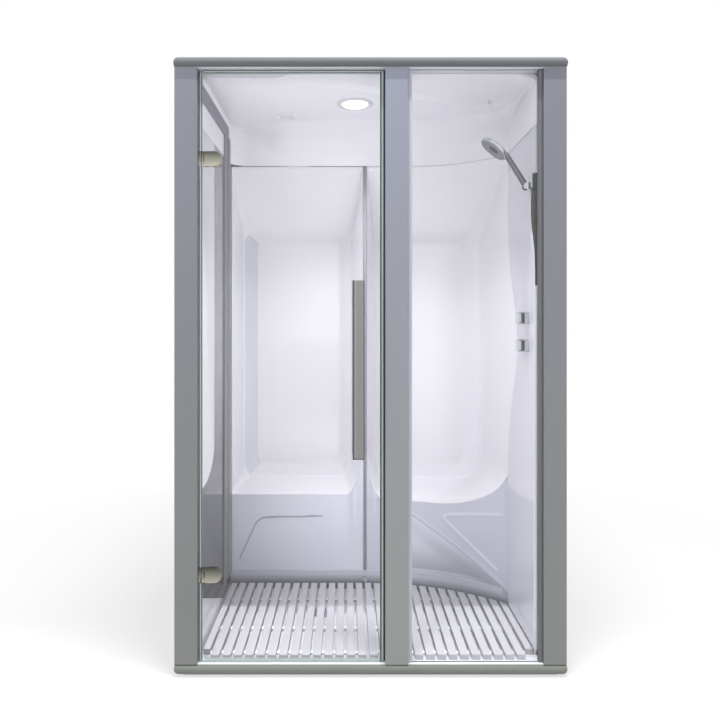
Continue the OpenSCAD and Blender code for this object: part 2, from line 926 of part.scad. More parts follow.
module downlight_lens() color("lightyellow") in_cabin() {
    translate([light_x, light_d, ceiling_z - 3])
        cylinder(h = 3, r = light_r - 16 - seat_gap);
}

module vent_grille() color("white") in_cabin() {
    translate([vent_x, vent_d, ceiling_z - 3])
        difference() {
            union() {
                cylinder(h = 3, r = vent_r);
                translate([0, 0, 2])
                    cylinder(h = shell_t + 1, r = vent_r - 9);
            }
            translate([0, 0, 3])
                cylinder(h = shell_t + 1, r = vent_r - 11);
            for (i = [-3:3])
                translate([i * 9 - 2.5, -vent_r * 0.55, -1])
                    cube([5, vent_r * 1.1, 6]);
        }
}

module fan_housing() color("gray") in_cabin() {
    duct_w = 2 * fan_r + 12;
    duct_z = ceiling_z + shell_t;
    drum_z = duct_z + duct_h - duct_w;
    difference() {
        union() {
            span([vent_x - duct_w / 2, vent_d - vent_r - 10, duct_z],
                 [vent_x + duct_w / 2, fan_d + eps, duct_z + duct_h]);
            span([vent_x - duct_w / 2, fan_d - 30, drum_z], [vent_x + duct_w / 2, fan_d + 40, duct_z + duct_h]);
        }
        span([vent_x - duct_w / 2 + 2, vent_d - vent_r - 8, duct_z + 2],
             [vent_x + duct_w / 2 - 2, fan_d - 2, duct_z + duct_h - 2]);
        span([vent_x - duct_w / 2 + 2, fan_d - 28, drum_z + 2],
             [vent_x + duct_w / 2 - 2, fan_d - 2, duct_z + duct_h - 2]);
        translate([vent_x, vent_d, duct_z - 1])
            cylinder(h = 5, r = vent_r - 7);
        translate([vent_x, fan_d - 4, drum_z + duct_w / 2])
            rotate([-90, 0, 0])
                cylinder(h = 60, r = fan_r);
    }
    fan_place() {
        for (a = [45, 135])
            rotate(a)
                translate([-fan_r - 3, -3, 30])
                    cube([2 * fan_r + 6, 6, 6]);
        translate([0, 0, 26])
            cylinder(h = 12, r = 18);
        translate([0, 0, 6])
            cylinder(h = 24, r = pin_r);
    }
}

// Fan axis, from the fan's front face to the back
module fan_place() {
    translate([vent_x, fan_d, ceiling_z + shell_t + duct_h - fan_r - 6])
        rotate([-90, 0, 0])
            children();
}

module fan_rotor() color("black") in_cabin() {
    fan_place()
        difference() {
            union() {
                translate([0, 0, 5])
                    cylinder(h = 20, r = 16);
                for (a = [0:51.43:350])
                    rotate(a)
                        translate([14, 0, 14])
                            rotate([35, 0, 0])
                                translate([0, -8, -1])
                                    cube([fan_r - 17, 16, 2]);
            }
            cylinder(h = 40, r = pin_r + run_gap);
        }
}

// Shower

module valve_body() color("goldenrod") in_cabin() {
    span([valve_x, valve_d - 24, diverter_z - valve_over], [valve_x + valve_t, valve_d + 24, mixer_z + valve_over]);
    for (z = [mixer_z, diverter_z])
        translate([0, valve_d, z])
            rotate([0, 90, 0]) {
                translate([0, 0, right_wall - knob_out + 8])
                    cylinder(h = valve_x - right_wall + knob_out, r = spindle_r);
                translate([0, 0, right_wall + shell_t])
                    cylinder(h = valve_x - right_wall - shell_t + eps, r = 2 * spindle_r);
            }
}

// Square knob on a valve spindle
module valve_knob(z) {
    translate([right_wall - knob_out - plate_t - seat_gap, valve_d, z])
        rotate([0, 90, 0])
            difference() {
                translate([-knob_w / 2, -knob_w / 2, 0])
                    linear_extrude(knob_out)
                        round_rect(knob_w, knob_w, 6);
                translate([0, 0, 10])
                    cylinder(h = knob_out, r = spindle_r + run_gap);
            }
}

module mixer_knob() color("silver") in_cabin() {
    valve_knob(mixer_z);
}

module diverter_knob() color("silver") in_cabin() {
    valve_knob(diverter_z);
}

module water_pipes() color("peru") in_cabin() {
    for (s = [-1, 1])
        pipe_run([[pipe_x, valve_d + s * pipe_side, diverter_z - valve_over],
                  [pipe_x, valve_d + s * pipe_side, pipe_low_z + s * 2 * pipe_side],
                  [pipe_x, cab_d - sheet_t - pipe_end, pipe_low_z + s * 2 * pipe_side]], pipe_r);
    pipe_run([[pipe_x, valve_d, mixer_z + valve_over], [pipe_x, valve_d, inlet_z], [pipe_x, arm_d, inlet_z],
              [right_wall, arm_d, inlet_z]], pipe_r);
}

module shower_bracket() color("silver") in_cabin() {
    translate([right_wall, arm_d, inlet_z])
        rotate([0, -90, 0])
            translate([-bracket_h / 2, -bracket_w / 2, 0])
                linear_extrude(bracket_t)
                    round_rect(bracket_h, bracket_w, bracket_t);
    for (s = [-1, 1])
        difference() {
            union() {
                translate([pivot_x, arm_d + s * 13, arm_z])
                    rotate([90, 0, 0])
                        cylinder(h = 6, r = 12, center = true);
                span([pivot_x, arm_d + s * 13 - 3, arm_z - 5], [right_wall - 4, arm_d + s * 13 + 3, arm_z + 12]);
            }
            translate([pivot_x, arm_d, arm_z])
                rotate([90, 0, 0])
                    cylinder(h = 60, r = 4, center = true);
        }
    translate([pivot_x, arm_d, arm_z])
        rotate([90, 0, 0])
            cylinder(h = 32, r = 4, center = true);
}

// Arm frame: origin on the pivot, Z along the arm
module arm_place() {
    translate([pivot_x, arm_d, arm_z])
        rotate([0, -arm_lean, 0])
            children();
}

module shower_arm() color("silver") in_cabin() {
    difference() {
        union() {
            arm_place()
                cylinder(h = arm_l, r1 = 10, r2 = 9);
            translate([pivot_x, arm_d, arm_z])
                rotate([90, 0, 0])
                    cylinder(h = 19, r = 11, center = true);
            head_place() {
                cylinder(h = head_t, d = head_dia);
                translate([0, 0, head_t])
                    cylinder(h = head_t, d1 = head_dia - 4, d2 = head_dia * 0.45);
            }
        }
        translate([pivot_x, arm_d, arm_z])
            rotate([90, 0, 0])
                cylinder(h = 40, r = 4 + run_gap, center = true);
        head_place()
            translate([0, 0, -1])
                cylinder(h = head_t - 3, d = head_dia - 8);
    }
}

// Head frame: origin in the middle of the spray face, Z out of the head's back
module head_place() {
    translate([head_x, arm_d, head_z])
        rotate([0, head_slope, 0])
            translate([-head_in, 0, -head_low])
                children();
}

module shower_head() color("dimgray") in_cabin() {
    head_place() {
        cylinder(h = head_t - 4, d = head_dia - 8 - 2 * seat_gap);
        for (ring = [1:3], i = [0:ring * 6 - 1])
            rotate(i * 60 / ring)
                translate([ring * 13, 0, -1.5])
                    cylinder(h = 2, r = 2);
    }
}

// Outer shell

module rear_posts() color("gray") in_cabin() {
    difference() {
        for (s = [-1, 1])
            translate([s > 0 ? base_x - post_w : -base_x, post_d, base_h])
                linear_extrude(roof_z - base_h - post_w - seat_gap)
                    difference() {
                        square(post_w);
                        translate([2, 2])
                            square(post_w - 4);
                    }
        post_screw_places()
            cylinder(h = 40, r = 2.5, center = true);
    }
}

module roof_rails() color("gray") in_cabin() {
    z0 = roof_z - post_w;
    for (s = [-1, 1])
        span([s > 0 ? base_x - post_w : -base_x, frame_t, z0], [s > 0 ? base_x : -base_x + post_w, post_d + post_w, roof_z]);
    for (d = [post_d, fan_d + 60])
        span([-base_x + post_w + seat_gap, d, z0], [base_x - post_w - seat_gap, d + post_w, roof_z]);
}

// Side sheet from the front frame to the back sheet
module side_sheet(x) {
    span([x, frame_t, base_h], [x + sheet_t, cab_d - sheet_t - seat_gap, roof_z - seat_gap]);
    span([x > 0 ? base_x + seat_gap : x, post_d, base_h], [x > 0 ? x + sheet_t : -base_x - seat_gap, post_d + 3, roof_z - seat_gap]);
}

module left_cladding() color("lightslategray") in_cabin() {
    side_sheet(-half_w);
}

module right_cladding() color("lightslategray") in_cabin() {
    side_sheet(half_w - sheet_t);
}

module back_cladding() color("lightslategray") in_cabin() {
    difference() {
        span([-half_w, cab_d - sheet_t, base_h], [half_w, cab_d, roof_z - seat_gap]);
        span([service_x + 15, 0, service_z + 15], [service_x + service_w - 15, cab_d + 1, service_z + service_h - 15]);
        for (i = [-4:4])
            span([vent_x + i * 12 - 3, cab_d - 20, ceiling_z - 70], [vent_x + i * 12 + 3, cab_d + 1, ceiling_z + 10]);
        post_screw_places()
            cylinder(h = 30, r = 2.5, center = true);
        service_screw_places()
            cylinder(h = 30, r = 2.5, center = true);
    }
}

module service_panel() color("slategray") in_cabin() {
    difference() {
        span([service_x, cab_d, service_z], [service_x + service_w, cab_d + 3, service_z + service_h]);
        for (i = [0:5])
            span([service_x + 80, cab_d - 1, service_z + 90 + i * 30],
                 [service_x + service_w - 80, cab_d + 4, service_z + 98 + i * 30]);
        service_screw_places()
            cylinder(h = 30, r = 2.5, center = true);
    }
}

// Screws of the back sheet, into the rear posts
module post_screw_places() {
    for (x = [-base_x + post_w / 2, base_x - post_w / 2], i = [0:screw_rows - 1])
        translate([x, cab_d, screw_z + i * screw_step])
            rotate([-90, 0, 0])
                children();
}

// Screws at the service panel's corners
module service_screw_places() {
    for (x = [service_x + 8, service_x + service_w - 8], z = [service_z + 8, service_z + service_h - 8])
        translate([x, cab_d, z])
            rotate([-90, 0, 0])
                children();
}

module roof_panel() color("lightslategray") in_cabin() {
    span([-half_w + 1, frame_t + 1, roof_z], [half_w - 1, cab_d - 1, roof_z + sheet_t]);
}

// Pan-head screw with its head seated at a height
module pan_screw(seat) {
    translate([0, 0, seat])
        cylinder(h = 3, r = screw_r);
    translate([0, 0, seat - 8])
        cylinder(h = 9, r = 2.4);
}

module panel_screws() color("silver") in_cabin() {
    post_screw_places()
        pan_screw(0);
    service_screw_places()
        pan_screw(3);
}

// Steam generator

module steam_tank() color("silver") in_cabin() {
    translate([-tank_x, tank_d, tank_z]) {
        difference() {
            union() {
                cylinder(h = tank_h, r = tank_r);
                translate([0, tank_r - 6, valve_z - tank_z])
                    rotate([-90, 0, 0])
                        cylinder(h = 26, r = 10);
            }
            translate([0, 0, 37])
                cylinder(h = tank_h - 40, r = tank_r - 3);
            translate([0, 0, -1])
                cylinder(h = 35, r = tank_r - 3);
            cylinder(h = tank_h * 2, r = element_port_r);
            translate([0, tank_r - 30, valve_z - tank_z])
                rotate([-90, 0, 0])
                    cylinder(h = 60, r = 6);
            translate([0, -50, 0])
                cylinder(h = tank_h * 2, r = steam_r - 2);
        }
    }
}

module heating_element() color("orange") in_cabin() {
    translate([-tank_x, tank_d, 0]) {
        translate([0, 0, boiler_top])
            cylinder(h = 12, r = element_port_r + 8);
        translate([0, 0, boiler_top - 8])
            cylinder(h = 10, r = element_port_r - 1);
        for (s = [-1, 1])
            translate([s * loop_r, 0, loop_z])
                cylinder(h = boiler_top - loop_z - 4, r = element_r);
        translate([0, 0, loop_z])
            rotate([90, 0, 0])
                rotate_extrude(angle = -180)
                    translate([loop_r, 0])
                        circle(r = element_r);
    }
}

module steam_pipe() color("sienna") in_cabin() {
    turn_d = rib_d0 + 20;
    pipe_run([[-tank_x, tank_d - 50, boiler_top], [-tank_x, tank_d - 50, steam_run_z], [-tank_x, tank_d, steam_run_z],
              [0, tank_d, steam_run_z], [0, turn_d, steam_run_z], [0, turn_d, nozzle_z],
              [0, bench_d + shell_t + 4, nozzle_z]], steam_r);
}

module steam_nozzle() color("silver") in_cabin() {
    translate([0, bench_d + shell_t + 4, nozzle_z])
        rotate([90, 0, 0])
            cylinder(h = 2 * shell_t + 5, r = steam_r - 3);
    translate([0, bench_d - shell_t - 2 * seat_gap, nozzle_z])
        rotate([90, 0, 0])
            difference() {
                cylinder(h = 6, r = steam_r);
                for (a = [0:60:300])
                    rotate(a)
                        translate([6, 0, 3])
                            cylinder(h = 6, r = 1.2);
            }
}

module drain_valve() color("goldenrod") in_cabin() {
    translate([-tank_x, 0, valve_z]) {
        translate([0, tank_d + tank_r + 20, 0])
            rotate([-90, 0, 0])
                cylinder(h = 45, r = 13);
        translate([0, lever_d, 0])
            cylinder(h = 22, r = 7);
        translate([0, lever_d, 0])
            cylinder(h = 34, r = 4);
        translate([0, lever_d + 18, base_h - valve_z + foot_out])
            cylinder(h = valve_z - base_h, r = 8);
    }
}

module drain_lever() color("red") in_cabin() {
    translate([-tank_x, lever_d, valve_z + 22 + seat_gap])
        difference() {
            union() {
                cylinder(h = 8, r = 9);
                span([0, -6, 2], [60, 6, 5]);
            }
            translate([0, 0, -1])
                cylinder(h = 20, r = 4 + run_gap);
        }
}

module control_box() color("dimgray") in_cabin() {
    span([box_x, box_d, box_z], [box_x + box_w, box_d + box_len, box_z + box_h]);
    translate([box_x + box_w / 2, box_d + box_len - 1, box_z + box_h / 2])
        rotate([-90, 0, 0])
            cylinder(h = 13, r = 4);
}

module isolator_knob() color("red") in_cabin() {
    translate([box_x + box_w / 2, box_d + box_len + seat_gap, box_z + box_h / 2])
        rotate([-90, 0, 0])
            difference() {
                union() {
                    cylinder(h = 6, r = 20);
                    span([-6, -20, 5], [6, 20, 18]);
                }
                translate([0, 0, -1])
                    cylinder(h = 14, r = 4 + run_gap);
            }
}

base_frame();
levelling_feet();
left_stile();
right_stile();
mullion();
top_rail();
bottom_rail();
glazing_beads();
fixed_glass();
door_stop();
door_glass();
door_seals();
hinge_blocks();
hinge_clamps();
hinge_pins();
door_handle();
left_lining();
lining_frame();
left_seat();
right_seat();
joint_strip();
seat_ribs();
shower_column();
ceiling_dome();
tray();
drain_flange();
drain_cover();
left_slats();
left_battens();
right_slats();
right_battens();
downlight_body();
downlight_ring();
downlight_lens();
vent_grille();
fan_housing();
fan_rotor();
valve_body();
mixer_knob();
diverter_knob();
water_pipes();
shower_bracket();
shower_arm();
shower_head();
rear_posts();
roof_rails();
left_cladding();
right_cladding();
back_cladding();
service_panel();
roof_panel();
panel_screws();
steam_tank();
heating_element();
steam_pipe();
steam_nozzle();
drain_valve();
drain_lever();
control_box();
isolator_knob();
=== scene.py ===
"""Looks of a two-seat steam cabin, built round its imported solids.

A place is (x, depth, z) in millimetres: x to the right, depth behind the cabin's front face, z up.
"""
import logging
import math
from dataclasses import astuple, dataclass
from enum import Enum
from typing import Callable, Optional, Sequence, Union

import bmesh
import bpy
import numpy as np
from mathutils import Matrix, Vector


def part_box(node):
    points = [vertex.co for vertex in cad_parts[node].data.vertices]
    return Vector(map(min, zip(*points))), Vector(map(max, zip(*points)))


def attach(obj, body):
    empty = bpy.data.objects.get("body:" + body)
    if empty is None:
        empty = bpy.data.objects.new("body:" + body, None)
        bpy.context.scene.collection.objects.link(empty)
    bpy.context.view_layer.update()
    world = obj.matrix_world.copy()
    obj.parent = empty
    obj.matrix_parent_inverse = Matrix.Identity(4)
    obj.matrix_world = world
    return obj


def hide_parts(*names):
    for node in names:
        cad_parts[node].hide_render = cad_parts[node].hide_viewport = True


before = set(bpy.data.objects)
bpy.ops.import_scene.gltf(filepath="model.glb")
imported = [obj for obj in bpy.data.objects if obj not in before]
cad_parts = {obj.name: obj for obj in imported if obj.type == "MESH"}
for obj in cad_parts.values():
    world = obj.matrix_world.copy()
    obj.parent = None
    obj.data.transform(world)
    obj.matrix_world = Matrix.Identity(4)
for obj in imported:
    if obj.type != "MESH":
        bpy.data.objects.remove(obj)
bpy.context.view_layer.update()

LOG = logging.getLogger("steam_cabin")
MM = 0.001
MERGE_WITHIN = 1e-6
QUARTER = math.pi / 2

Piece = bpy.types.Object
Tree = bpy.types.NodeTree
Node = bpy.types.Node
Socket = bpy.types.NodeSocket
Material = bpy.types.Material
Colour = tuple[float, float, float]
Line = Union[np.ndarray, Sequence[tuple[float, float]]]
Pick = Callable[[np.ndarray, np.ndarray], np.ndarray]
Picks = Sequence[tuple[str, Pick]]
Feeds = dict[Union[str, int], object]


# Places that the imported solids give

# The front face is the stiles' face, and the frame's origin lies half the cabin's depth behind it.
HALF_DEPTH = -round(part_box("left_stile")[0][1] / MM, 1)


@dataclass(frozen=True)
class Box:
    """The box of a solid at rest, in millimetres."""

    left: float
    right: float
    front: float
    rear: float
    foot: float
    head: float


def box_of(node: str) -> Box:
    """Measure a solid.

    Args:
        node: the solid's node.

    Returns:
        Its box to a tenth of a millimetre, with depth counted from the front face.
    """
    low, high = (np.array(corner, float) / MM + [0.0, HALF_DEPTH, 0.0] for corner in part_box(node))
    return Box(*(round(float(end[axis]), 1) for axis in range(3) for end in (low, high)))


LINING = box_of("left_lining")
WALL_TRIM = box_of("lining_frame")
LEFT_WALL = LINING.right
RIGHT_WALL = box_of("shower_bracket").right
BENCH_DEPTH = box_of("left_seat").front
TRAY_TOP = box_of("tray").head
SEAM = box_of("ceiling_dome").foot
CEILING = box_of("downlight_ring").head
CABIN_HEIGHT = box_of("top_rail").head
HINGES = box_of("hinge_blocks")
HINGE_HEIGHT = 51.0


# Shapes as arrays


def place(points: np.ndarray) -> np.ndarray:
    """Turn places into the cabin's own frame in metres.

    Args:
        points: an array whose last axis holds x, depth and z in millimetres.

    Returns:
        The same points as (X, Y, Z) metres; Y is the depth less half the cabin's depth.
    """
    out = np.array(points, dtype=float)
    out[..., 1] -= HALF_DEPTH
    return out * MM


def grid(x: object, depth: object, z: object) -> np.ndarray:
    """Places from three coordinates, each a number or an array that fits the others."""
    return np.stack(np.broadcast_arrays(x, depth, z), -1)


def quads(rows: int, cols: int, wrap: bool) -> np.ndarray:
    """Corner numbers of the quads of a grid of points.

    Args:
        rows: points along the first axis.
        cols: points along the second axis.
        wrap: whether the last column joins the first.

    Returns:
        An (n, 4) array of vertex numbers.
    """
    ids = np.arange(rows * cols).reshape(rows, cols)
    if wrap:
        ids = np.hstack([ids, ids[:, :1]])
    return np.stack([ids[:-1, :-1], ids[:-1, 1:], ids[1:, 1:], ids[1:, :-1]], -1).reshape(-1, 4)


def smoothstep(value: np.ndarray, low: float, high: float) -> np.ndarray:
    """Three t squared less two t cubed, with t the clamped share of the way from low to high."""
    t = np.clip((value - low) / (high - low), 0.0, 1.0)
    return t * t * (3.0 - 2.0 * t)


def bell(value: np.ndarray, middle: float, width: float, power: int = 2) -> np.ndarray:
    """E to the power of minus the distance from the middle, in widths and raised to the given power."""
    return np.exp(-np.abs((value - middle) / width) ** power)


def quarter_rise(share: np.ndarray) -> np.ndarray:
    """Rise of a quarter circle of radius one: one less the root of one less the share squared."""
    return 1 - np.sqrt(1 - share ** 2)


def chain_side(x: np.ndarray, z: np.ndarray, line: Line) -> np.ndarray:
    """Signed distance from each point to a chain of straight segments in the same plane.

    Args:
        x: first coordinates.
        z: second coordinates.
        line: the chain's corner points.

    Returns:
        The least distance to any segment, which is the length of the point less its clamped projection:
        positive on the left of the nearest segment, walking along the chain, and negative on its right.
    """
    signed = np.full(np.shape(x), np.inf)
    for (ax, az), (bx, bz) in zip(line[:-1], line[1:]):
        dx, dz = bx - ax, bz - az
        t = np.clip(((x - ax) * dx + (z - az) * dz) / (dx * dx + dz * dz), 0.0, 1.0)
        away = np.hypot(x - ax - t * dx, z - az - t * dz)
        away = np.where(dx * (z - az) - dz * (x - ax) < 0, -away, away)
        signed = np.where(np.abs(away) < np.abs(signed), away, signed)
    return signed


def eased_corners(corners: Sequence[Sequence[float]], cuts: Sequence[tuple[float, float]],
                  steps: int) -> np.ndarray:
    """A polyline of points, or of whole rows of numbers, with a quadratic curve at each inner corner.

    Args:
        corners: the polyline's corners.
        cuts: for each inner corner, the shares of the side before and the side after that the curve takes.
        steps: points on each curve.

    Returns:
        One row per station: on a curve (1 - t) squared of its start, 2 t (1 - t) of the corner and t squared
        of its end.
    """
    corners = np.array(corners, float)
    t = np.linspace(0.0, 1.0, steps)[:, None]
    rows = [corners[:1]]
    for i, (before, after) in enumerate(cuts, 1):
        start = corners[i] + (corners[i - 1] - corners[i]) * before
        end = corners[i] + (corners[i + 1] - corners[i]) * after
        rows.append(start * (1 - t) ** 2 + corners[i] * 2 * t * (1 - t) + end * t * t)
    return np.vstack([*rows, corners[-1:]])


def rounded_line(points: Line, radius: float, steps: int = 8) -> np.ndarray:
    """A chain of points with its inner corners rounded.

    Args:
        points: the corners.
        radius: how far from each corner its curve starts and ends, or half a side where that is less.
        steps: points on each curve.

    Returns:
        The rounded chain, (n, 2).
    """
    lengths = np.linalg.norm(np.diff(np.array(points, float), axis=0), axis=1)
    share = np.minimum(0.5, radius / lengths)
    return eased_corners(points, list(zip(share[:-1], share[1:])), steps)


# Meshes


def linked(name: str, data: bpy.types.ID) -> Piece:
    """Make an object of a mesh, lamp or camera and put it in the scene.

    Args:
        name: the object's name.
        data: what it shows.

    Returns:
        The new object.
    """
    obj = bpy.data.objects.new(name, data)
    bpy.context.scene.collection.objects.link(obj)
    return obj


def new_mesh(name: str, points: np.ndarray, faces: np.ndarray) -> Piece:
    """Make an object from arrays.

    Args:
        name: the piece's name.
        points: (n, 3) metres.
        faces: (m, 4) vertex numbers.

    Returns:
        The new object, smoothly shaded.
    """
    mesh = bpy.data.meshes.new(name)
    mesh.from_pydata(points.reshape(-1, 3).tolist(), [], faces.tolist())
    mesh.validate()
    mesh.shade_smooth()
    return linked(name, mesh)


def surface(name: str, points: np.ndarray, wrap: bool = False, flip: bool = False) -> Piece:
    """Make an object from a grid of places.

    Args:
        name: the piece's name.
        points: (rows, cols, 3) as x, depth, z.
        wrap: whether the last column joins the first.
        flip: turn every face over.

    Returns:
        The new object.
    """
    faces = quads(*points.shape[:2], wrap)
    return new_mesh(name, place(points), faces[:, ::-1] if flip else faces)


def sewn(obj: Piece) -> Piece:
    """Close a piece where its points lie together, and turn its faces outwards.

    Args:
        obj: the piece, which is changed.

    Returns:
        The piece.
    """
    bm = bmesh.new()
    bm.from_mesh(obj.data)
    bmesh.ops.remove_doubles(bm, verts=bm.verts, dist=MERGE_WITHIN)
    bmesh.ops.recalc_face_normals(bm, faces=bm.faces)
    bm.to_mesh(obj.data)
    bm.free()
    obj.data.shade_smooth()
    return obj


def merge(name: str, parts: Sequence[Piece]) -> Piece:
    """Join several new objects into one piece.

    Args:
        name: the piece's name.
        parts: the objects, which are used up.

    Returns:
        The joined object.
    """
    bm = bmesh.new()
    for part in parts:
        bm.from_mesh(part.data)
        bpy.data.objects.remove(part)
    mesh = bpy.data.meshes.new(name)
    bm.to_mesh(mesh)
    bm.free()
    return linked(name, mesh)


def creased(obj: Piece, degrees: float) -> Piece:
    """Shade a piece sharply across edges that turn more than the given angle."""
    obj.data.set_sharp_from_angle(angle=math.radians(degrees))
    return obj


def revolved(name: str, profile: Line, origin: Sequence[float], axis: Sequence[float], around: int) -> Piece:
    """A surface of revolution: each profile point (r, h) is carried round the axis at height h.

    Args:
        name: the piece's name.
        profile: radii and heights along the axis, in millimetres.
        origin: the axis's start as x, depth, z.
        axis: the axis's direction in the same order.
        around: points round the axis.

    Returns:
        The new object.
    """
    a = np.array(axis, float) / np.linalg.norm(axis)
    side = np.cross(a, [0.0, 1.0, 0.0] if abs(a[1]) < 0.9 else [1.0, 0.0, 0.0])
    side /= np.linalg.norm(side)
    turn = np.linspace(0, 2 * math.pi, around, endpoint=False)
    ring = np.cos(turn)[:, None] * side + np.sin(turn)[:, None] * np.cross(a, side)
    r, h = np.array(profile, float).T
    points = np.array(origin, float) + r[:, None, None] * ring[None] + h[:, None, None] * a
    return sewn(surface(name, points, wrap=True))


def bar(name: str, span: Sequence[float], ease: float) -> Piece:
    """A rounded bar: a rectangle with quarter-round corners, carried along the bar's longest side.

    Args:
        name: the piece's name.
        span: its sides as x, depth and z from and to: x0, x1, d0, d1, z0, z1.
        ease: the radius of the corners in millimetres.

    Returns:
        The new object: a ring at each end, and one drawn in to its middle to close it.
    """
    low, high = np.array(span[0::2], float), np.array(span[1::2], float)
    along = int(np.argmax(high - low))
    across = [axis for axis in range(3) if axis != along]
    turn = np.linspace(0, QUARTER, 5)
    section = []
    for k, sides in enumerate(((1, 1), (-1, 1), (-1, -1), (1, -1))):
        corner = [(high if side > 0 else low)[axis] - side * ease for side, axis in zip(sides, across)]
        angle = turn + k * QUARTER
        section.append(corner + ease * np.stack([np.cos(angle), np.sin(angle)], -1))
    section = np.vstack(section)
    middle = (low[across] + high[across]) / 2
    rings = np.zeros((4, len(section), 3))
    for ring, end, spread in zip(rings, (low, low, high, high), (0.0, 1.0, 1.0, 0.0)):
        ring[:, across] = middle + (section - middle) * spread
        ring[:, along] = end[along]
    return surface(name, rings, wrap=True)


def bars(name: str, spans: Sequence[Sequence[float]], ease: float) -> Piece:
    """Rounded bars in one piece, each a rectangle carried straight along.

    Args:
        name: the piece's name.
        spans: the sides of each bar.
        ease: the radius of their corners in millimetres.

    Returns:
        The new piece.
    """
    return creased(sewn(merge(name, [bar(name + "_part", span, ease) for span in spans])), 50)


def softened(node: str, name: str, width: float, segments: int, sharp: float = 35.0,
             flat: float = 0.4) -> Piece:
    """A copy of a solid with its edges eased, as a made part's are.

    Args:
        node: the solid's node.
        name: the new piece's name.
        width: the width of the eased edge in millimetres.
        segments: steps across it.
        sharp: edges that turn more than this many degrees are eased.
        flat: faces that turn less than this many degrees become one.

    Returns:
        The new piece, which stands for the node.
    """
    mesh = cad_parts[node].data.copy()
    mesh.materials.clear()
    obj = linked(name, mesh)
    bm = bmesh.new()
    bm.from_mesh(mesh)
    bmesh.ops.remove_doubles(bm, verts=bm.verts, dist=2 * MERGE_WITHIN)
    bmesh.ops.dissolve_limit(bm, angle_limit=math.radians(flat), verts=bm.verts, edges=bm.edges)
    bm.to_mesh(mesh)
    bm.free()
    mesh.shade_smooth()
    creased(obj, sharp)
    bevel = obj.modifiers.new("eased_edges", "BEVEL")
    bevel.width = width * MM
    bevel.segments = segments
    bevel.limit_method = "ANGLE"
    bevel.angle_limit = math.radians(sharp)
    bevel.harden_normals = True
    bevel.use_clamp_overlap = True
    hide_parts(node)
    return obj


# Shader nodes


def feed(tree: Tree, node: Node, feeds: Feeds) -> None:
    """Give a node's inputs what they follow.

    Args:
        tree: the tree that the node is in.
        node: the node.
        feeds: for an input's name or number, a socket or a plain value.
    """
    for key, value in feeds.items():
        if isinstance(value, Socket):
            tree.links.new(value, node.inputs[key])
        else:
            node.inputs[key].default_value = value


def add(tree: Tree, kind: str, feeds: Optional[Feeds] = None, **settings: object) -> Node:
    """Add a shader node.

    Args:
        tree: the tree it goes into.
        kind: its type's name after "ShaderNode".
        feeds: what its inputs follow.
        settings: its own settings by name.

    Returns:
        The new node.
    """
    node = tree.nodes.new("ShaderNode" + kind)
    for key, value in settings.items():
        setattr(node, key, value)
    feed(tree, node, feeds or {})
    return node


def maths(tree: Tree, kind: str, first: object, second: object = 0.0) -> Socket:
    """The result of one arithmetic node; each argument is a socket or a number."""
    return add(tree, "Math", {0: first, 1: second}, operation=kind).outputs[0]


def own_axes(tree: Tree) -> dict[str, Socket]:
    """The cabin's own X, Y and Z, in metres, as sockets by name."""
    coords = add(tree, "TexCoord")
    return dict(add(tree, "SeparateXYZ", {0: coords.outputs["Object"]}).outputs.items())


def fresh_group(name: str, amount: float, outputs: Sequence[str]) -> tuple[Tree, Socket, Node]:
    """Start a shader node group with one input, Amount.

    Args:
        name: the group's name.
        amount: what Amount is where nothing sets it.
        outputs: the names of its outputs.

    Returns:
        The tree, the socket that carries Amount, and the output node.
    """
    tree = bpy.data.node_groups.new(name, "ShaderNodeTree")
    socket = {"socket_type": "NodeSocketFloat"}
    tree.interface.new_socket(name="Amount", in_out="INPUT", **socket).default_value = amount
    for key in outputs:
        tree.interface.new_socket(name=key, in_out="OUTPUT", **socket)
    return tree, tree.nodes.new("NodeGroupInput").outputs["Amount"], tree.nodes.new("NodeGroupOutput")


def stretched_noise(tree: Tree, scale: Sequence[float], detail: float) -> Socket:
    """Noise on Object coordinates.

    Args:
        tree: the tree it goes into.
        scale: how often it changes along each axis, for each metre.
        detail: how many finer layers it has.

    Returns:
        The socket that carries it, from nought to one.
    """
    coords = add(tree, "TexCoord")
    mapping = add(tree, "Mapping", {"Vector": coords.outputs["Object"], "Scale": scale})
    noise = add(tree, "TexNoise", {"Vector": mapping.outputs["Vector"], "Scale": 1.0, "Detail": detail})
    return noise.outputs["Fac"]


class Pattern(Enum):
    """What a finish carries on its surface, as the scale of its noise along each axis."""

    PLAIN = None
    BRUSHED_UP = (900.0, 900.0, 6.0)
    BRUSHED_ACROSS = (6.0, 900.0, 900.0)
    MOULDED = (26.0, 26.0, 26.0)
    GRAINED = (700.0, 700.0, 700.0)


class Effects:
    """Shader node groups that several finishes share."""

    def __init__(self) -> None:
        """Build each group once."""
        self.trees = {pattern: self.relief(pattern) for pattern in Pattern if pattern is not Pattern.PLAIN}
        self.drift = self.tone_drift()

    @staticmethod
    def relief(pattern: Pattern) -> Tree:
        """A group for one pattern.

        Args:
            pattern: the pattern.

        Returns:
            A tree whose Height is the pattern's noise, and whose Mask is that noise about nought.
        """
        tree, amount, outs = fresh_group(pattern.name.lower(), 1.0, ("Height", "Mask"))
        noise = stretched_noise(tree, pattern.value, 3.0)
        feed(tree, outs, {"Height": maths(tree, "MULTIPLY", noise, amount),
                          "Mask": maths(tree, "MULTIPLY", maths(tree, "SUBTRACT", noise, 0.5), amount)})
        return tree

    @staticmethod
    def tone_drift() -> Tree:
        """A group whose Shift is slow, faint noise about nought, for the unevenness of a made colour.

        Returns:
            The group's tree.
        """
        tree, amount, outs = fresh_group("tone_drift", 0.05, ("Shift",))
        noise = stretched_noise(tree, (2.3, 2.3, 1.1), 1.0)
        feed(tree, outs, {"Shift": maths(tree, "MULTIPLY", maths(tree, "SUBTRACT", noise, 0.5), amount)})
        return tree


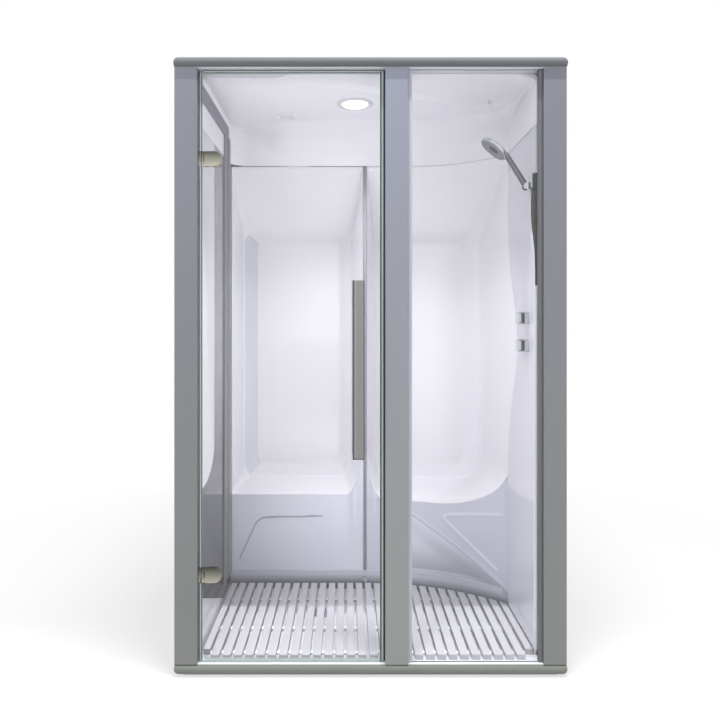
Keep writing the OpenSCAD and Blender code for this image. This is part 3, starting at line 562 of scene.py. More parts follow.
def linear(step: float) -> float:
    """One channel of 0 to 255 steps as linear light: the sRGB curve undone."""
    v = step / 255.0
    return v / 12.92 if v <= 0.04045 else ((v + 0.055) / 1.055) ** 2.4


def linear_colour(colour: Colour) -> tuple[float, ...]:
    """A colour of 0 to 255 steps as linear light with full cover."""
    return (*(linear(step) for step in colour), 1.0)


def ramp(tree: Tree, share: Socket, low: Colour, high: Colour,
         ends: tuple[float, float] = (0.0, 1.0)) -> Socket:
    """A colour that runs from one to another.

    Args:
        tree: the tree it goes into.
        share: how far along each point is.
        low: the colour at the first end.
        high: the colour at the second end.
        ends: the shares at which the run starts and stops.

    Returns:
        The socket that carries the colour.
    """
    node = add(tree, "ValToRGB", {0: share})
    for element, colour, position in zip(node.color_ramp.elements, (low, high), ends):
        element.color = linear_colour(colour)
        element.position = position
    return node.outputs["Color"]


def new_material(name: str) -> tuple[Material, Tree, Node]:
    """Start a material.

    Args:
        name: its name.

    Returns:
        The material, its tree and its Principled shader.
    """
    mat = bpy.data.materials.new(name)
    mat.use_nodes = True
    return mat, mat.node_tree, mat.node_tree.nodes["Principled BSDF"]


def mixed(tree: Tree, share: Socket, first: Node, second: Node) -> None:
    """Send a mix of two shaders to a material's surface: the second one's part is the share."""
    mix = add(tree, "MixShader", {0: share, 1: first.outputs[0], 2: second.outputs[0]})
    feed(tree, tree.nodes["Material Output"], {"Surface": mix.outputs[0]})


def either_ray(tree: Tree, *kinds: str) -> Socket:
    """One for a ray of either of two kinds, and nought for any other."""
    path = add(tree, "LightPath")
    return maths(tree, "MAXIMUM", *(path.outputs["Is " + kind + " Ray"] for kind in kinds))


# Finishes

WHITE = (1.0, 1.0, 1.0, 1.0)
ONCE = 9000.0


@dataclass(frozen=True)
class Finish:
    """An opaque finish: its colour, gloss and surface pattern.

    The colour may run up from a second one. The run's start, spacing and height are in millimetres: it begins
    again at each spacing, so that equal pieces above each other get one each, and a spacing of ONCE is past
    the cabin's height.
    """

    name: str
    colour: Colour
    roughness: float = 0.4
    metallic: float = 0.0
    coat: float = 0.0
    pattern: Pattern = Pattern.PLAIN
    bump: float = 0.1
    bump_size: float = 0.0002
    uneven: float = 0.06
    low_colour: Optional[Colour] = None
    glow: float = 0.0
    specular: float = 0.5
    alpha: float = 1.0
    coat_roughness: float = 0.04
    lines_in_gloss: float = 0.5
    run: tuple[float, float, float] = (0.0, ONCE, CABIN_HEIGHT)

    def material(self, effects: Effects) -> Material:
        """Build the material.

        Args:
            effects: the shared node groups.

        Returns:
            The material, with colour, roughness and relief from nodes.
        """
        mat, tree, bsdf = new_material(self.name)
        start, spacing, height = (part * MM for part in self.run)
        above = maths(tree, "MODULO", maths(tree, "SUBTRACT", own_axes(tree)["Z"], start), spacing)
        colour = ramp(tree, maths(tree, "DIVIDE", above, height), self.low_colour or self.colour, self.colour)
        drift = add(tree, "Group", {"Amount": self.uneven}, node_tree=effects.drift)
        value = maths(tree, "ADD", drift.outputs["Shift"], 1.0)
        shade = add(tree, "HueSaturation", {"Color": colour, "Value": value})
        feed(tree, bsdf, {"Base Color": shade.outputs["Color"], "Roughness": self.roughness,
                          "Metallic": self.metallic, "Coat Weight": self.coat,
                          "Coat Roughness": self.coat_roughness, "Specular IOR Level": self.specular,
                          "Alpha": self.alpha})
        if self.glow:
            feed(tree, bsdf, {"Emission Color": linear_colour(self.colour), "Emission Strength": self.glow})
        if self.pattern is not Pattern.PLAIN:
            lines = add(tree, "Group", {"Amount": 1.0}, node_tree=effects.trees[self.pattern])
            bump = add(tree, "Bump", {"Height": lines.outputs["Height"], "Strength": self.bump,
                                      "Distance": self.bump_size})
            gloss = maths(tree, "MULTIPLY", lines.outputs["Mask"], self.roughness * self.lines_in_gloss)
            feed(tree, bsdf, {"Normal": bump.outputs["Normal"],
                              "Roughness": maths(tree, "ADD", gloss, self.roughness)})
        return mat


@dataclass(frozen=True)
class Glass:
    """Clear glass that lets lamps through, so that what it shuts in is lit."""

    name: str
    tint: Colour
    roughness: float = 0.0
    index: float = 1.5

    def material(self, effects: Effects) -> Material:
        """Build the material.

        Args:
            effects: the shared node groups, of which glass needs none.

        Returns:
            A refracting shader, with a clear one in its place for rays from lamps and matt surfaces.
        """
        mat, tree, bsdf = new_material(self.name)
        feed(tree, bsdf, {"Base Color": linear_colour(self.tint), "Roughness": self.roughness,
                          "Transmission Weight": 1.0, "IOR": self.index})
        clear = add(tree, "BsdfTransparent", {"Color": linear_colour(self.tint)})
        mixed(tree, either_ray(tree, "Shadow", "Diffuse"), bsdf, clear)
        return mat


@dataclass(frozen=True)
class PaintedReflectionGlass:
    """Glass whose two tones are painted reflection and light: a pale area with an elliptical lower corner,
    and a darker surround.

    The pale area, a painted reflection of the seat moulding, lies where the point, taken from the ellipse's
    centre and divided by its half axes, is less than one away; forwards of the centre and above it there is
    no limit. A pale foot, painted light where a beam falls on the wall, runs along the lower edge: as high
    as the rise at the front, and lower by the fall towards the back. The surround darkens downwards, a
    painted reflection of the shaded bench.
    """

    name: str
    pale: Colour
    dark: Colour
    darkest: Colour
    centre: tuple[float, float] = (104.0, 740.0)
    half_axes: tuple[float, float] = (202.0, 126.0)
    soft_edge: tuple[float, float] = (0.96, 1.04)
    foot_rise: float = 268.0
    foot_fall: float = 0.42
    dark_run: tuple[float, float] = (0.3, 0.5)
    roughness: float = 0.16
    coat: float = 0.2
    coat_roughness: float = 0.05

    def material(self, effects: Effects) -> Material:
        """Build the material.

        Args:
            effects: the shared node groups, of which this glass needs none.

        Returns:
            A glossy shader whose two tones are painted reflection and light.
        """
        mat, tree, bsdf = new_material(self.name)
        axes = own_axes(tree)
        middle, height = (self.centre[0] - HALF_DEPTH) * MM, self.centre[1] * MM
        behind, under = maths(tree, "SUBTRACT", axes["Y"], middle), maths(tree, "SUBTRACT", height, axes["Z"])
        reach = [maths(tree, "DIVIDE", part, half * MM)
                 for part, half in zip((behind, under), self.half_axes)]
        squares = [maths(tree, "POWER", maths(tree, "MAXIMUM", part), 2.0) for part in reach]
        away = maths(tree, "SQRT", maths(tree, "ADD", *squares))
        low, high = self.soft_edge
        outside = add(tree, "MapRange", {"Value": away, "From Min": low, "From Max": high}).outputs["Result"]
        back = maths(tree, "ADD", axes["Y"], HALF_DEPTH * MM)
        foot = maths(tree, "SUBTRACT", self.foot_rise * MM, maths(tree, "MULTIPLY", back, self.foot_fall))
        above = maths(tree, "GREATER_THAN", axes["Z"], foot)
        rise = maths(tree, "DIVIDE", axes["Z"], CABIN_HEIGHT * MM)
        surround = ramp(tree, rise, self.darkest, self.dark, self.dark_run)
        mix = add(tree, "Mix", {0: maths(tree, "MULTIPLY", outside, above)}, data_type="RGBA")
        pale, dark = (index for index, socket in enumerate(mix.inputs) if socket.type == "RGBA")
        feed(tree, mix, {pale: linear_colour(self.pale), dark: surround})
        colour = next(socket for socket in mix.outputs if socket.type == "RGBA")
        feed(tree, bsdf, {"Base Color": colour, "Roughness": self.roughness, "Coat Weight": self.coat,
                          "Coat Roughness": self.coat_roughness})
        return mat


def brushed(name: str, colour: Colour, roughness: float, metallic: float, bump: float,
            **more: object) -> Finish:
    """A brushed metal, its lines running up unless another pattern is given."""
    return Finish(name, colour, roughness, metallic, bump=bump, **{"pattern": Pattern.BRUSHED_UP, **more})


def grained(name: str, colour: Colour, roughness: float, bump: float = 0.1, **more: object) -> Finish:
    """A finely grained plastic, rubber, foam or paint."""
    return Finish(name, colour, roughness, bump=bump, pattern=Pattern.GRAINED, **more)


def moulded(name: str, colour: Colour, coat: float = 0.3, **more: object) -> Finish:
    """A large acrylic moulding, with a slow ripple."""
    return Finish(name, colour, **{"roughness": 0.2, **more}, coat=coat, pattern=Pattern.MOULDED, bump=0.05,
                  bump_size=0.003, uneven=0.02)


def even(name: str, colour: Colour, roughness: float, **more: object) -> Finish:
    """A smooth and even finish."""
    return Finish(name, colour, roughness, **{"uneven": 0.02, **more})


ACROSS = Pattern.BRUSHED_ACROSS
FINISHES: tuple[Union[Finish, Glass, PaintedReflectionGlass], ...] = (
    # Painted reflection: each aluminium colour runs from bluish at the head to greenish at the foot.
    brushed("satin_aluminium", (154, 157, 174), 0.42, 0.5, 0.12, uneven=0.1, low_colour=(157, 161, 157)),
    # Painted shade: the stiles are a darker copy of the mullion's aluminium, with the same painted reflection
    # run.
    brushed("satin_aluminium_stile", (136, 137, 149), 0.42, 0.5, 0.12, uneven=0.1,
            low_colour=(142, 144, 142)),
    # Painted shade: the rails are a darker copy of the frame's aluminium, the top rail darker than the bottom
    # one.
    brushed("satin_aluminium_rail", (120, 124, 128), 0.36, 0.5, 0.1, pattern=ACROSS,
            low_colour=(133, 138, 131)),
    # Painted reflection: the sheets run from bluish at the head to greenish at the foot, as the frame does.
    brushed("sheet_aluminium", (164, 166, 174), 0.45, 0.6, 0.08, uneven=0.08, low_colour=(156, 160, 158)),
    # Painted light and shade: the beads' pale colour is painted light, and the shaded copy below is painted
    # shade.
    brushed("bead_aluminium", (186, 189, 202), 0.35, 0.3, 0.06),
    brushed("shaded_bead", (118, 121, 124), 0.4, 0.4, 0.06),
    # Painted light: the rails' faces that look up or down are painted pale, as if lit.
    brushed("sill_aluminium", (214, 218, 222), 0.4, 0.1, 0.06, pattern=ACROSS),
    # Painted reflection: each hinge runs from pale at its foot to dark at its head.
    brushed("hinge_nickel", (96, 96, 84), 0.2, 0.9, 0.04, pattern=ACROSS, low_colour=(224, 222, 206),
            run=(HINGES.foot, HINGES.head - HINGES.foot - HINGE_HEIGHT, HINGE_HEIGHT)),
    brushed("brushed_steel", (186, 186, 184), 0.32, 1.0, 0.2, uneven=0.1),
    brushed("brushed_stainless", (176, 176, 174), 0.28, 1.0, 0.1),
    brushed("turned_brass", (190, 156, 96), 0.25, 1.0, 0.08, pattern=ACROSS),
    Finish("drawn_copper", (184, 112, 78), 0.28, 1.0, uneven=0.15),
    Finish("chrome", (206, 208, 212), 0.07, 1.0, uneven=0.03),
    # Painted shade: a darker copy of the chrome for the door handle's lips and the hand shower's bar.
    Finish("dark_chrome", (122, 123, 128), 0.16, 1.0, uneven=0.03),
    Finish("screw_steel", (170, 170, 170), 0.25, 1.0),
    Glass("clear_glass", (253, 253, 254)),
    Glass("polished_glass_edge", (120, 168, 152), 0.08),
    # Painted reflection and light on the left wall's glass.
    PaintedReflectionGlass("wall_glass", (210, 210, 213), (122, 124, 130), (20, 24, 30)),
    # Painted shadow: the strip in the shaded gap beside the frame on the right wall.
    Finish("dark_wall_glass", (42, 44, 45), 0.5, specular=0.15, uneven=0.08),
    moulded("ceiling_acrylic", (243, 242, 247)),
    moulded("white_acrylic", (242, 241, 245), low_colour=(232, 231, 236)),
    # Painted shade: the right wall is a greyer copy of the white acrylic.
    moulded("wall_acrylic", (214, 214, 222), 0.4, roughness=0.18),
    moulded("shaded_acrylic", (220, 222, 234), 0.5),
    # Painted highlight: a paler line along the right bench's outline.
    even("raised_acrylic", (222, 224, 235), 0.2, coat=0.4),
    # Painted shade: a darker line along the left bench's outline.
    even("grooved_acrylic", (172, 174, 186), 0.3, coat=0.2),
    # Painted shade: the left niche's bevel that faces right.
    even("bevel_acrylic", (214, 217, 224), 0.2, coat=0.3),
    # Painted shade: the right bench front is a darker copy of the acrylic.
    even("turned_acrylic", (206, 208, 220), 0.2, coat=0.5),
    # Painted shade: below the right bench's ridge, darker towards the bottom.
    even("under_ridge", (232, 234, 245), 0.25, coat=0.3, low_colour=(166, 168, 178), run=(96.0, ONCE, 170.0)),
    # Painted shadow: the tray's upstand darkens towards its foot.
    even("tray_upstand", (198, 200, 211), 0.3, low_colour=(124, 126, 136), run=(62.0, ONCE, 34.0)),
    even("strip_acrylic", (136, 138, 147), 0.6, specular=0.2),
    even("shadow_line", (92, 94, 100), 0.5, specular=0.2, uneven=0.03),
    even("vent_white", (240, 241, 244), 0.3),
    even("ring_white", (214, 216, 220), 0.25, coat=0.3),
    even("lamp_lens", (255, 253, 248), 0.3, glow=0.9, uneven=0.01),
    even("clear_seal", (196, 206, 203), 0.25, alpha=0.55),
    Finish("seal_lip", (70, 82, 80), 0.4, uneven=0.05),
    Finish("red_plastic", (178, 30, 26), 0.3, coat=0.3),
    grained("dark_seal", (62, 72, 70), 0.45, 0.08),
    grained("slat_white", (186, 186, 191), 0.42, uneven=0.05),
    # Painted light: the battens are near white though they lie in the slats' shade.
    grained("batten_grey", (248, 248, 250), 0.5),
    grained("spray_plate", (148, 150, 154), 0.4, metallic=0.3),
    grained("spray_rubber", (74, 76, 80), 0.55),
    grained("housing_grey", (120, 122, 124), 0.5),
    grained("matt_black", (34, 34, 35), 0.55),
    grained("dark_powder_coat", (62, 64, 67), 0.5, 0.2),
    grained("foam_sleeve", (40, 40, 41), 0.8, 0.3),
    Finish("sealed_plywood", (196, 158, 108), 0.5, pattern=ACROSS, uneven=0.2),
)


# Dressing a piece


def painted(obj: Piece, materials: dict[str, Material], first: str, picks: Picks) -> Piece:
    """Give a piece several finishes, picked face by face.

    Args:
        obj: the piece.
        materials: every material by its finish's name.
        first: the finish of the faces that no pick takes.
        picks: finishes, each with what says from the faces' normals and places which faces it takes.

    Returns:
        The piece.
    """
    mesh = obj.data
    mesh.materials.clear()
    mesh.materials.append(materials[first])
    normals, middles = np.zeros((2, len(mesh.polygons) * 3))
    mesh.polygons.foreach_get("normal", normals)
    mesh.polygons.foreach_get("center", middles)
    places = middles.reshape(-1, 3) / MM + [0.0, HALF_DEPTH, 0.0]
    index = np.zeros(len(mesh.polygons), dtype=np.int32)
    for number, (name, chosen) in enumerate(picks, 1):
        mesh.materials.append(materials[name])
        index[chosen(normals.reshape(-1, 3), places)] = number
    mesh.polygons.foreach_set("material_index", index)
    return obj


class Workshop:
    """Holds the finishes and dresses each piece."""

    def __init__(self) -> None:
        """Build every material once."""
        effects = Effects()
        self.materials = {finish.name: finish.material(effects) for finish in FINISHES}
        self.count = 0

    def dress(self, obj: Piece, finish: str, body: str, picks: Picks = ()) -> Piece:
        """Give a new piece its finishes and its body.

        Args:
            obj: the piece.
            finish: its finish's name.
            body: the body it rides on.
            picks: other finishes, with the faces that each takes.

        Returns:
            The piece.
        """
        painted(obj, self.materials, finish, picks)
        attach(obj, body)
        self.count += 1
        LOG.info("%s: %s on %s", obj.name, finish, body)
        return obj

    def repaint(self, node: str, finish: str) -> None:
        """Give a solid that keeps its shape its material.

        Args:
            node: the solid's node.
            finish: the finish's name.
        """
        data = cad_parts[node].data
        data.materials.clear()
        data.materials.append(self.materials[finish])
        self.count += 1
        LOG.info("%s: %s", node, finish)

    def eased(self, node: str, finish: str, body: str, width: float, segments: int = 2,
              picks: Picks = (), ending: str = "_eased") -> Piece:
        """Stand an eased copy in for a solid and dress it.

        Args:
            node: the solid's node.
            finish: its finish's name.
            body: the body it rides on.
            width: the eased edge in millimetres.
            segments: steps across it.
            picks: other finishes, with the faces that each takes.
            ending: what the piece's name has after the node's.

        Returns:
            The new piece.
        """
        return self.dress(softened(node, node + ending, width, segments), finish, body, picks)

    def pane(self, node: str, body: str, width: float) -> Piece:
        """Dress a pane: clear faces, and polished green edges where the normal isn't along the depth."""
        edges = ("polished_glass_edge", lambda normals, _: np.abs(normals[:, 1]) < 0.5)
        return self.eased(node, "clear_glass", body, width, 1, [edges], "_pane")


# The cabin's parts


@dataclass
class FrontFrame:
    """Stiles, mullion, rails, beads and fixed glass."""

    ease: float = 0.8
    bead_ease: float = 1.2
    shaded_from: float = 560.0

    def build(self, shop: Workshop) -> None:
        """Dress the frame.

        Args:
            shop: the finishes.
        """
        for node in ("left_stile", "right_stile"):
            shop.eased(node, "satin_aluminium_stile", "cabin", self.ease)
        shop.eased("mullion", "satin_aluminium", "cabin", self.ease)
        for node, inward in (("top_rail", -1.0), ("bottom_rail", 1.0)):
            # Painted light: faces looking down on the top rail and up on the bottom rail are painted pale.
            lit_face = ("sill_aluminium", lambda normals, _: normals[:, 2] * inward > 0.9)
            shop.eased(node, "satin_aluminium_rail", "cabin", self.ease, picks=[lit_face])
        # Beads right of shaded_from are painted shade; the rest are painted light.
        shaded = ("shaded_bead", lambda _, places: places[:, 0] > self.shaded_from)
        shop.eased("glazing_beads", "bead_aluminium", "cabin", self.bead_ease, picks=[shaded])
        shop.eased("door_stop", "dark_seal", "cabin", self.ease)
        shop.pane("fixed_glass", "cabin", self.ease)


@dataclass
class GlazedDoor:
    """The hinged glass door with its seals, hinges and handle.

    The seals are a dark lip that closes the gap to the frame and a clear wrap over the glass's edge. Each
    handle bar is a flat bar with a lip along both sides, painted dark as shade, and a bright groove beside
    the left one.
    """

    arris: float = 0.8
    clamp_ease: float = 2.4
    hinge_gap: float = 2.0
    run_start: float = 14.0
    wrap_gap: float = 0.2
    glass: Box = box_of("door_glass")
    handle: Box = box_of("door_handle")
    bar_depth: float = 11.5
    post_radius: float = 9.0
    post_length: float = 40.5
    post_inset: float = 75.0

    def uprights(self) -> list[tuple[float, float]]:
        """The heights between which the left seal runs, clear of the hinges.

        Returns:
            Each run's foot and head.
        """
        low, high, gap = HINGES.foot, HINGES.head, self.hinge_gap
        past = HINGE_HEIGHT + gap
        return [(self.glass.foot, low - gap), (low + past, high - past), (high + gap, self.glass.head)]

    def seal_lips(self) -> Piece:
        """The dark lips: left and right of the door, along its head, and the inner edges of the wraps.

        Returns:
            The lips in one piece.
        """
        left, right, face, back, foot, head = astuple(self.glass)
        start, stop = left + self.run_start, right - 8.5
        spans = [(left - 4.0, left - 1.6, face + 1.5, back - 1.5, *run) for run in self.uprights()]
        spans += [(left + 3.8, left + 6.8, face - 2.1, face - 0.1, *run) for run in self.uprights()]
        spans += [(right + 3.4, right + 6.8, face, back - 1.0, foot, head),
                  (right - 7.8, right - 2.6, face - 3.1, face - 0.1, foot, head),
                  (start, stop, face + 0.5, back - 1.5, head + 0.4, head + 2.9),
                  (start, stop, face - 2.2, face - 0.2, head - 6.8, head - 5.4)]
        return bars("seal_lips", spans, 0.6)

    def seal_wraps(self) -> Piece:
        """The clear wraps: thin strips on both faces of the glass, and the fin at its foot.

        Returns:
            The wraps in one piece.
        """
        left, right, face, back, foot, head = astuple(self.glass)
        start, stop, gap = left + self.run_start, right - 8.6, self.wrap_gap
        edges = [(left - 1.4, left + 6.6, *run, 1.6, 1.6) for run in self.uprights()]
        edges += [(right - 7.6, right + 3.2, foot, head, 2.4, 2.6),
                  (start, stop, head - 6.6, head + 0.2, 1.6, 1.6),
                  (start, stop, foot - 2.0, foot + 7.6, 2.4, 2.6)]
        spans = []
        for x0, x1, z0, z1, before, behind in edges:
            spans += [(x0, x1, face - gap - before, face - gap, z0, z1),
                      (x0, x1, back + gap, back + gap + behind, z0, z1)]
        return bars("seal_wraps", spans, 0.5)

    def handle_bars(self) -> dict[str, Piece]:
        """The handle's pieces by finish.

        Returns:
            The faces and the lips of both bars, the lips in painted shade, and the bright grooves with the
            posts.
        """
        middle, low, high = (self.handle.left + self.handle.right) / 2, self.handle.foot, self.handle.head
        faces, lips, grooves = [], [], []
        for front, inward in ((self.handle.front, 1.0), (self.handle.rear, -1.0)):
            def strip(left: float, right: float, sink: float, foot: float = low,
                      head: float = high) -> tuple[float, ...]:
                """One strip of a bar between two distances from its middle, its face sunk by a depth."""
                near, far = sorted((front + inward * sink, front + inward * self.bar_depth))
                return (middle + left, middle + right, near, far, foot, head)
            faces.append(strip(-8.0, 16.6, 0.0, low + 4.0, high - 1.0))
            grooves.append(strip(-14.4, -8.2, 1.6, low + 4.0, high - 1.0))
            lips += [strip(-20.0, -14.6, 0.6), strip(16.8, 20.0, 0.6),
                     strip(-20.0, 20.0, 0.8, low, low + 4.2)]
        profile = [(self.post_radius, 0), (self.post_radius, self.post_length)]
        posts = [revolved("handle_post", profile, (middle, start, z), (0, 1, 0), 40)
                 for z in (low + self.post_inset, high - self.post_inset)
                 for start in (self.handle.front + self.bar_depth + 0.1, self.glass.rear)]
        return {"brushed_steel": bars("handle_faces", faces, 1.2),
                "dark_chrome": bars("handle_lips", lips, 1.0),
                "chrome": merge("handle_grooves", [bars("groove_part", grooves, 0.6), *posts])}

    def build(self, shop: Workshop) -> None:
        """Dress the door.

        Args:
            shop: the finishes.
        """
        shop.pane("door_glass", "door", self.arris)
        lips, wraps = self.seal_lips(), self.seal_wraps()
        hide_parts("door_seals")
        shop.dress(lips, "seal_lip", "door")
        shop.dress(wraps, "clear_seal", "door")
        shop.eased("hinge_clamps", "hinge_nickel", "door", self.clamp_ease, 4)
        handle = self.handle_bars()
        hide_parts("door_handle")
        for finish, piece in handle.items():
            shop.dress(piece, finish, "door")
        shop.eased("hinge_blocks", "hinge_nickel", "cabin", self.arris)
        shop.repaint("hinge_pins", "brushed_stainless")


@dataclass(frozen=True)
class WallWave:
    """The waved rear edge of the shower wall, which the right seat's opening follows."""

    depth: float = 440.0
    dip: float = 147.0
    height: float = 1120.0
    width: float = 260.0

    def at(self, z: np.ndarray) -> np.ndarray:
        """The edge's depth at a height: its depth less a bell about the valves."""
        return self.depth - self.dip * bell(z, self.height, self.width)


WAVE = WallWave()


@dataclass
class SeatMouldings:
    """The two moulded seats: bench fronts, seat hollows with their backs, and the strip on their joint.

    The sweep holds where it starts from the joint, its width and its rise; the turn at the wall its width and
    rise; and the column its height, its distance from the joint and its width. Outlines and the ridge are
    chains of points, x and z, on the bench fronts, each raised by a height and spread by a width.
    """

    back_depth: float = 1048.0
    bevel_depth: float = 976.0
    left_foot: float = 442.0
    right_foot: float = 418.0
    tuck: float = 22.0
    arc_radius: float = 890.0
    corner_fillet: float = 40.0
    foot_fillet: float = 110.0
    groove: float = 4.5
    groove_foot: tuple[float, float] = (560.0, 700.0)
    groove_head: tuple[float, float] = (1660.0, 1700.0)
    sweep: tuple[float, float, float] = (88.0, 80.0, 238.0)
    turn: tuple[float, float] = (280.0, 184.0)
    column: tuple[float, float, float] = (14.0, 44.0, 22.0)
    column_foot: tuple[float, float] = (150.0, 420.0)
    column_head: tuple[float, float] = (470.0, 640.0)
    relief: float = 22.0
    ridge: tuple[float, float] = (3.0, 6.0)
    left_line: tuple[float, float] = (1.2, 4.0)
    right_line: tuple[float, float] = (2.2, 6.0)
    inset: float = 1.6
    left_outline: tuple[tuple[float, float], ...] = ((-552, 160), (-468, 344), (-190, 349))
    right_outline: tuple[tuple[float, float], ...] = ((554, 408), (320, 370), (538, 179))
    ridge_points: tuple[tuple[float, float], ...] = ((0, 434), (120, 425), (250, 336), (430, 219), (540, 134),
                                                     (576, 112))
    outline_radius: float = 40.0
    ridge_radius: float = 60.0
    side_points: int = 36
    corner_points: int = 12
    panel_rings: int = 14

    def contour(self, row: np.ndarray) -> np.ndarray:
        """A rounded rectangle in the plane of the front, starting at the middle of its foot.

        The row holds left, right, foot, head, then the across and up radii of the four corners: foot right,
        head right, head left and foot left. Straight runs and elliptic quarter arcs have fixed numbers of
        points, so that every contour has the same number and corners meet corners.

        Args:
            row: the twelve numbers.

        Returns:
            (n, 2) points as x and z, counter-clockwise seen from the front.
        """
        left, right, foot, head = row[:4]
        radii = row[4:12].reshape(4, 2)
        corners = np.array([[right, foot], [right, head], [left, head], [left, foot]])
        centres = corners + np.array([[-1, 1], [-1, -1], [1, -1], [1, 1]]) * radii
        share = np.linspace(0, 1, self.side_points)[1:-1, None]
        middle = np.array([[(left + right) / 2, foot]])
        out = [middle]
        for k, (centre, radius) in enumerate(zip(centres, radii)):
            turn = (k - 1) * QUARTER + np.linspace(0, QUARTER, self.corner_points)
            arc = centre + np.stack([np.cos(turn), np.sin(turn)], -1) * radius
            out += [out[-1][-1] + (arc[0] - out[-1][-1]) * share, arc]
        out.append(out[-1][-1] + (middle - out[-1][-1]) * share)
        return np.vstack(out)

    def hollow(self, rows: np.ndarray, opening: Callable[[np.ndarray, np.ndarray], np.ndarray]) -> np.ndarray:
        """The points of a seat hollow: contours one behind another, then drawn in to the middle of the back.

        Each point lies its row's share of the way from its own point of the opening to the back.

        Args:
            rows: contour rows with the share of the way back as their last number.
            opening: gives the opening's depth from the first contour's x and z.

        Returns:
            (rings, points, 3) as x, depth, z.
        """
        front = opening(*self.contour(rows[0]).T)
        rings = []
        for row in rows:
            x, z = self.contour(row).T
            rings.append(grid(x, front + row[12] * (self.back_depth - front), z))
        last = rings[-1]
        middle = last.mean(0)
        return np.array([*rings, *(middle + (last - middle) * (1 - k / self.panel_rings)
                                   for k in range(1, self.panel_rings + 1))])

    @staticmethod
    def hollow_rows(front: Sequence[float], lip: Sequence[float], wall: Sequence[float],
                    back: Sequence[float], inner: Sequence[float]) -> np.ndarray:
        """Contour rows of a hollow: a lip that rolls in tightly, a wall that runs back, and a flat back.

        Args:
            front: the contour at the opening, as twelve numbers and a share of the way back.
            lip: the contour behind the rolled edge.
            wall: the contour where the bevel starts.
            back: the back panel's outer contour.
            inner: a contour inside it.

        Returns:
            The rows, with quadratic curves at the three inner contours.
        """
        return eased_corners([front, lip, wall, back, inner], [(cut, cut) for cut in (0.45, 0.12, 0.3)], 7)

    def left_hollow(self) -> np.ndarray:
        """The left hollow's points: an upright opening, and walls that close in towards the back.

        Returns:
            (rings, points, 3) as x, depth, z.
        """
        rows = self.hollow_rows(
            [LEFT_WALL, -8, self.left_foot, SEAM, 80, 240, 3, 8, 3, 8, 4, 4, 0.0],
            [LEFT_WALL, -9, self.left_foot + 4, SEAM - 4, 76, 224, 4, 10, 4, 10, 4, 4, 0.05],
            [-583, -57, 452, 1637, 60, 120, 30, 40, 30, 40, 40, 60, 0.79],
            [-527, -111, 500, 1594, 28, 60, 22, 22, 22, 22, 28, 60, 1.0],
            [-505, -133, 524, 1572, 24, 50, 18, 18, 18, 18, 24, 50, 1.0])
        return self.hollow(rows, lambda x, _: np.full(np.shape(x), BENCH_DEPTH))

    def right_hollow(self) -> np.ndarray:
        """The right hollow's points, in the same form, from an opening that follows the bench and the wall.

        Returns:
            (rings, points, 3) as x, depth, z.
        """
        rows = self.hollow_rows(
            [8, RIGHT_WALL, self.right_foot, SEAM, 280, 186, 4, 8, 3, 8, 80, 240, 0.0],
            [9, RIGHT_WALL, self.right_foot + 18, SEAM - 4, 280, 170, 5, 10, 4, 10, 76, 224, 0.05],
            [57, 562, 448, 1637, 90, 130, 60, 60, 30, 40, 60, 120, 0.79],
            [111, 500, 500, 1594, 28, 60, 22, 22, 22, 22, 28, 60, 1.0],
            [133, 480, 524, 1572, 24, 50, 18, 18, 18, 18, 24, 50, 1.0])
        return self.hollow(rows, self.right_opening)

    def arc(self, x: np.ndarray) -> np.ndarray:
        """Depth of the right bench front: a circle about a point in front of the cabin's middle."""
        across = np.clip(x, 0, self.arc_radius - 10)
        return np.sqrt(self.arc_radius ** 2 - across ** 2) + BENCH_DEPTH - self.arc_radius

    def plan(self, x: np.ndarray, radius: float) -> np.ndarray:
        """Depth of the right bench in plan: the arc, then a fillet that meets the wall.

        Args:
            x: where.
            radius: the fillet's radius.

        Returns:
            The depths: the fillet is a circle that touches the arc from inside and the wall.
        """
        centre_x = RIGHT_WALL - radius
        rise = math.sqrt((self.arc_radius - radius) ** 2 - centre_x ** 2)
        touch = centre_x * self.arc_radius / (self.arc_radius - radius)
        fillet = np.sqrt(np.clip(radius ** 2 - (x - centre_x) ** 2, 0, None))
        return np.where(x < touch, self.arc(x), BENCH_DEPTH - self.arc_radius + rise + fillet)

    def right_opening(self, x: np.ndarray, z: np.ndarray) -> np.ndarray:
        """Depth of the right hollow's opening: the bench below, the wave on the wall, the ceiling on top.

        Args:
            x: where across.
            z: where up.

        Returns:
            The depths: the three are blended by smooth steps towards the wall and the seam.
        """
        grooved = (1 - smoothstep(z, *self.groove_head)) * smoothstep(z, *self.groove_foot)
        side = WAVE.at(z) + self.groove * grooved
        wall = smoothstep(x, RIGHT_WALL - 12.0, RIGHT_WALL - 1.0) * smoothstep(z, 520.0, 600.0)
        high = smoothstep(z, SEAM - 80.0, SEAM - 2.0)
        low = self.plan(x, self.corner_fillet)
        return (low * (1 - wall) + side * wall) * (1 - high) + (CeilingMoulding().rear(x) + 1.0) * high

    def joint_rise(self, x: np.ndarray) -> np.ndarray:
        """How far a bench's head is swept up beside the joint: most of a quarter ellipse."""
        start, across, up = self.sweep
        return up * quarter_rise(np.clip((start - np.abs(x)) / across, 0, 0.995))

    def joint_column(self, x: np.ndarray, z: np.ndarray) -> np.ndarray:
        """How far a bench stands forward beside the joint: a bell, eased in and out up its height."""
        height, middle, width = self.column
        return (height * bell(np.abs(x), middle, width) * smoothstep(z, *self.column_foot)
                * (1 - smoothstep(z, *self.column_head)))

    def heights(self, head: np.ndarray, rows: int) -> np.ndarray:
        """Rows of heights, evenly spread from just below the tray's upstand to the given head."""
        return TRAY_TOP - self.tuck + np.linspace(0, 1, rows)[:, None] * (head - TRAY_TOP + self.tuck)

